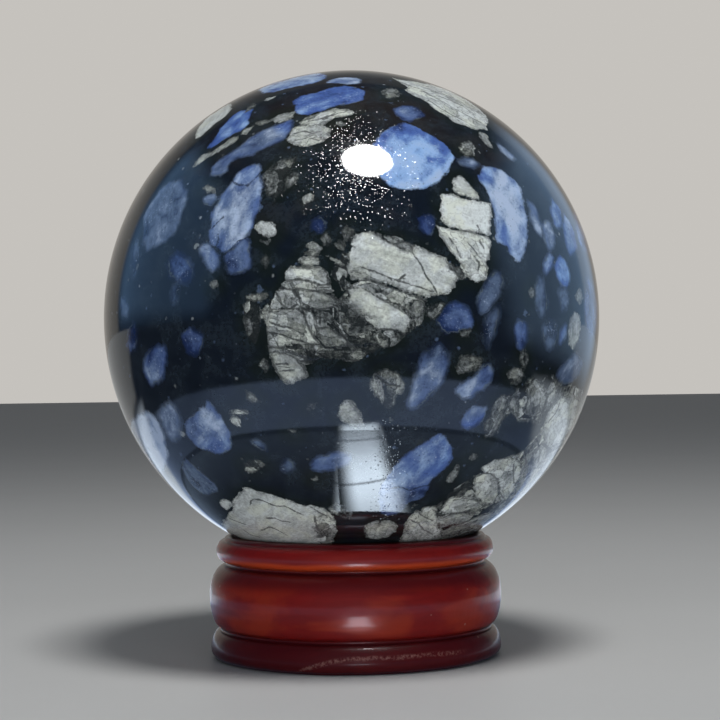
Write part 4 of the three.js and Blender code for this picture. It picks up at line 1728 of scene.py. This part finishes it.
def add_soft_lights(ball, stand):
    """Two bluish panels at the sides, a fill from the front, one from below and the low glares.

    A glare shows as a mirror image alone: a wide one in the ball, a narrow one in the stand.
    """
    middle = seen_from_ball(0.0, 0.0, 0.0)
    for name, direction, size, radiance, colour, edge in (
        ("left_panel", (-84.0, 24.0, 0.42), (0.66, 0.42), 0.60, (0.30, 0.57, 1.0), 0.18),
        ("right_panel", (74.0, 17.0, 0.18), (0.35, 0.225), 0.85, (0.42, 0.66, 1.0), 0.22),
    ):
        place = seen_from_ball(*direction)
        panel = area_light(name, place, middle, size, radiance, colour, (edge, edge))
        panel.visible_diffuse = False
        shine_only_on(panel, ball)
    fill = area_light("front_fill", (0.0, -0.9, 0.14), middle, 1.5, 0.74, (0.92, 0.95, 1.0))
    fill.visible_glossy = False
    bounce_place = (0.0, -0.175, 0.003)
    bounce_aim = (0.0, -0.175, 0.1)
    bounce = area_light("bounce", bounce_place, bounce_aim, (0.36, 0.25), 0.62, (0.93, 0.96, 1.0))
    bounce.visible_glossy = False
    glare_height = 0.0012
    glare_aim_height = 0.05
    for name, across, ahead, size, radiance, edges, bars, turn, receiver in (
        ("low_glare", 0.0034, -0.0362, (0.0192, 0.0485), 12.0, (0.25, 0.08), (0.217, 0.604), 0.03, ball),
        ("low_glare_heart", 0.0040, -0.0330, (0.017, 0.052), 16.0, (0.32, 0.50), (0.174, 0.535), 0.10, ball),
        ("stand_glare", 0.0008, -0.0340, (0.010, 0.016), 16.0, (0.30, 0.30), (), 0.0, stand),
    ):
        place = (across, ahead, glare_height)
        aim = (across, ahead, glare_aim_height)
        glare = area_light(name, place, aim, size, radiance, (0.74, 0.87, 1.0), edges, bars, turn)
        glare.visible_diffuse = False
        shine_only_on(glare, receiver)


def add_room_light(scene, stage):
    """The room's own light: a pale wall behind the object, dim above and dark in front."""
    wall_side = (0.30, 0.29, 0.27)
    wall_middle = (0.42, 0.40, 0.37)
    wall_top = (0.10, 0.11, 0.12)
    front = (0.028, 0.045, 0.075)
    ceiling = (0.10, 0.11, 0.11)
    world = bpy.data.worlds.new("room")
    world.use_nodes = True
    g = Graph(world.node_tree)
    towards = g.node("ShaderNodeTexCoord", {}, {}, "Generated")
    _, ahead, upwards = g.parts(towards)
    wall = g.mix(ahead.step(0.70, 1.0), wall_side, wall_middle)
    wall = g.mix(upwards.step(0.25, 0.65), wall, wall_top)
    colour = g.mix(ahead.step(0.66, 0.72), front, wall)
    colour = g.mix(upwards.step(0.72, 0.95), colour, ceiling)
    seen = g.node("ShaderNodeLightPath", {}, {}, "Is Camera Ray")
    colour = g.mix(seen, colour, stage.wall_colour)
    background = g.node("ShaderNodeBackground", {}, {"Color": colour, "Strength": 1.0})
    g.node("ShaderNodeOutputWorld", {}, {"Surface": background})
    scene.world = world


class STONEBALL_PT_panel(bpy.types.Panel):
    """Lists the settings and the steps that build the ornament"""

    bl_idname = "STONEBALL_PT_panel"
    bl_label = "Stone Ball"
    bl_space_type = "VIEW_3D"
    bl_region_type = "UI"
    bl_category = "Stone Ball"

    def draw(self, context):
        column = self.layout.column()
        for operator in (STONEBALL_OT_camera, STONEBALL_OT_ball, STONEBALL_OT_stand, STONEBALL_OT_stage):
            column.operator(operator.bl_idname)
        for settings in (ball_settings(), stand_settings(), stage_settings()):
            box = self.layout.box()
            for name in settings.__annotations__:
                box.prop(settings, name)


CLASSES = (
    BallSettings, StandSettings, StageSettings, STONEBALL_OT_camera, STONEBALL_OT_ball,
    STONEBALL_OT_stand, STONEBALL_OT_stage, STONEBALL_PT_panel,
)


def register():
    """Makes the classes and their settings known to Blender."""
    for cls in CLASSES:
        bpy.utils.register_class(cls)
    bpy.types.Scene.stone_ball = PointerProperty(type=BallSettings)
    bpy.types.Scene.stone_ball_stand = PointerProperty(type=StandSettings)
    bpy.types.Scene.stone_ball_stage = PointerProperty(type=StageSettings)


def unregister():
    """Takes away what register made known, in reverse."""
    del bpy.types.Scene.stone_ball_stage
    del bpy.types.Scene.stone_ball_stand
    del bpy.types.Scene.stone_ball
    for cls in reversed(CLASSES):
        bpy.utils.unregister_class(cls)


def main():
    """Builds everything in order."""
    register()
    bpy.ops.stone_ball.add_camera()
    bpy.ops.stone_ball.add_ball()
    bpy.ops.stone_ball.add_stand()
    bpy.ops.stone_ball.add_stage()


if __name__ == "__main__":
    main()
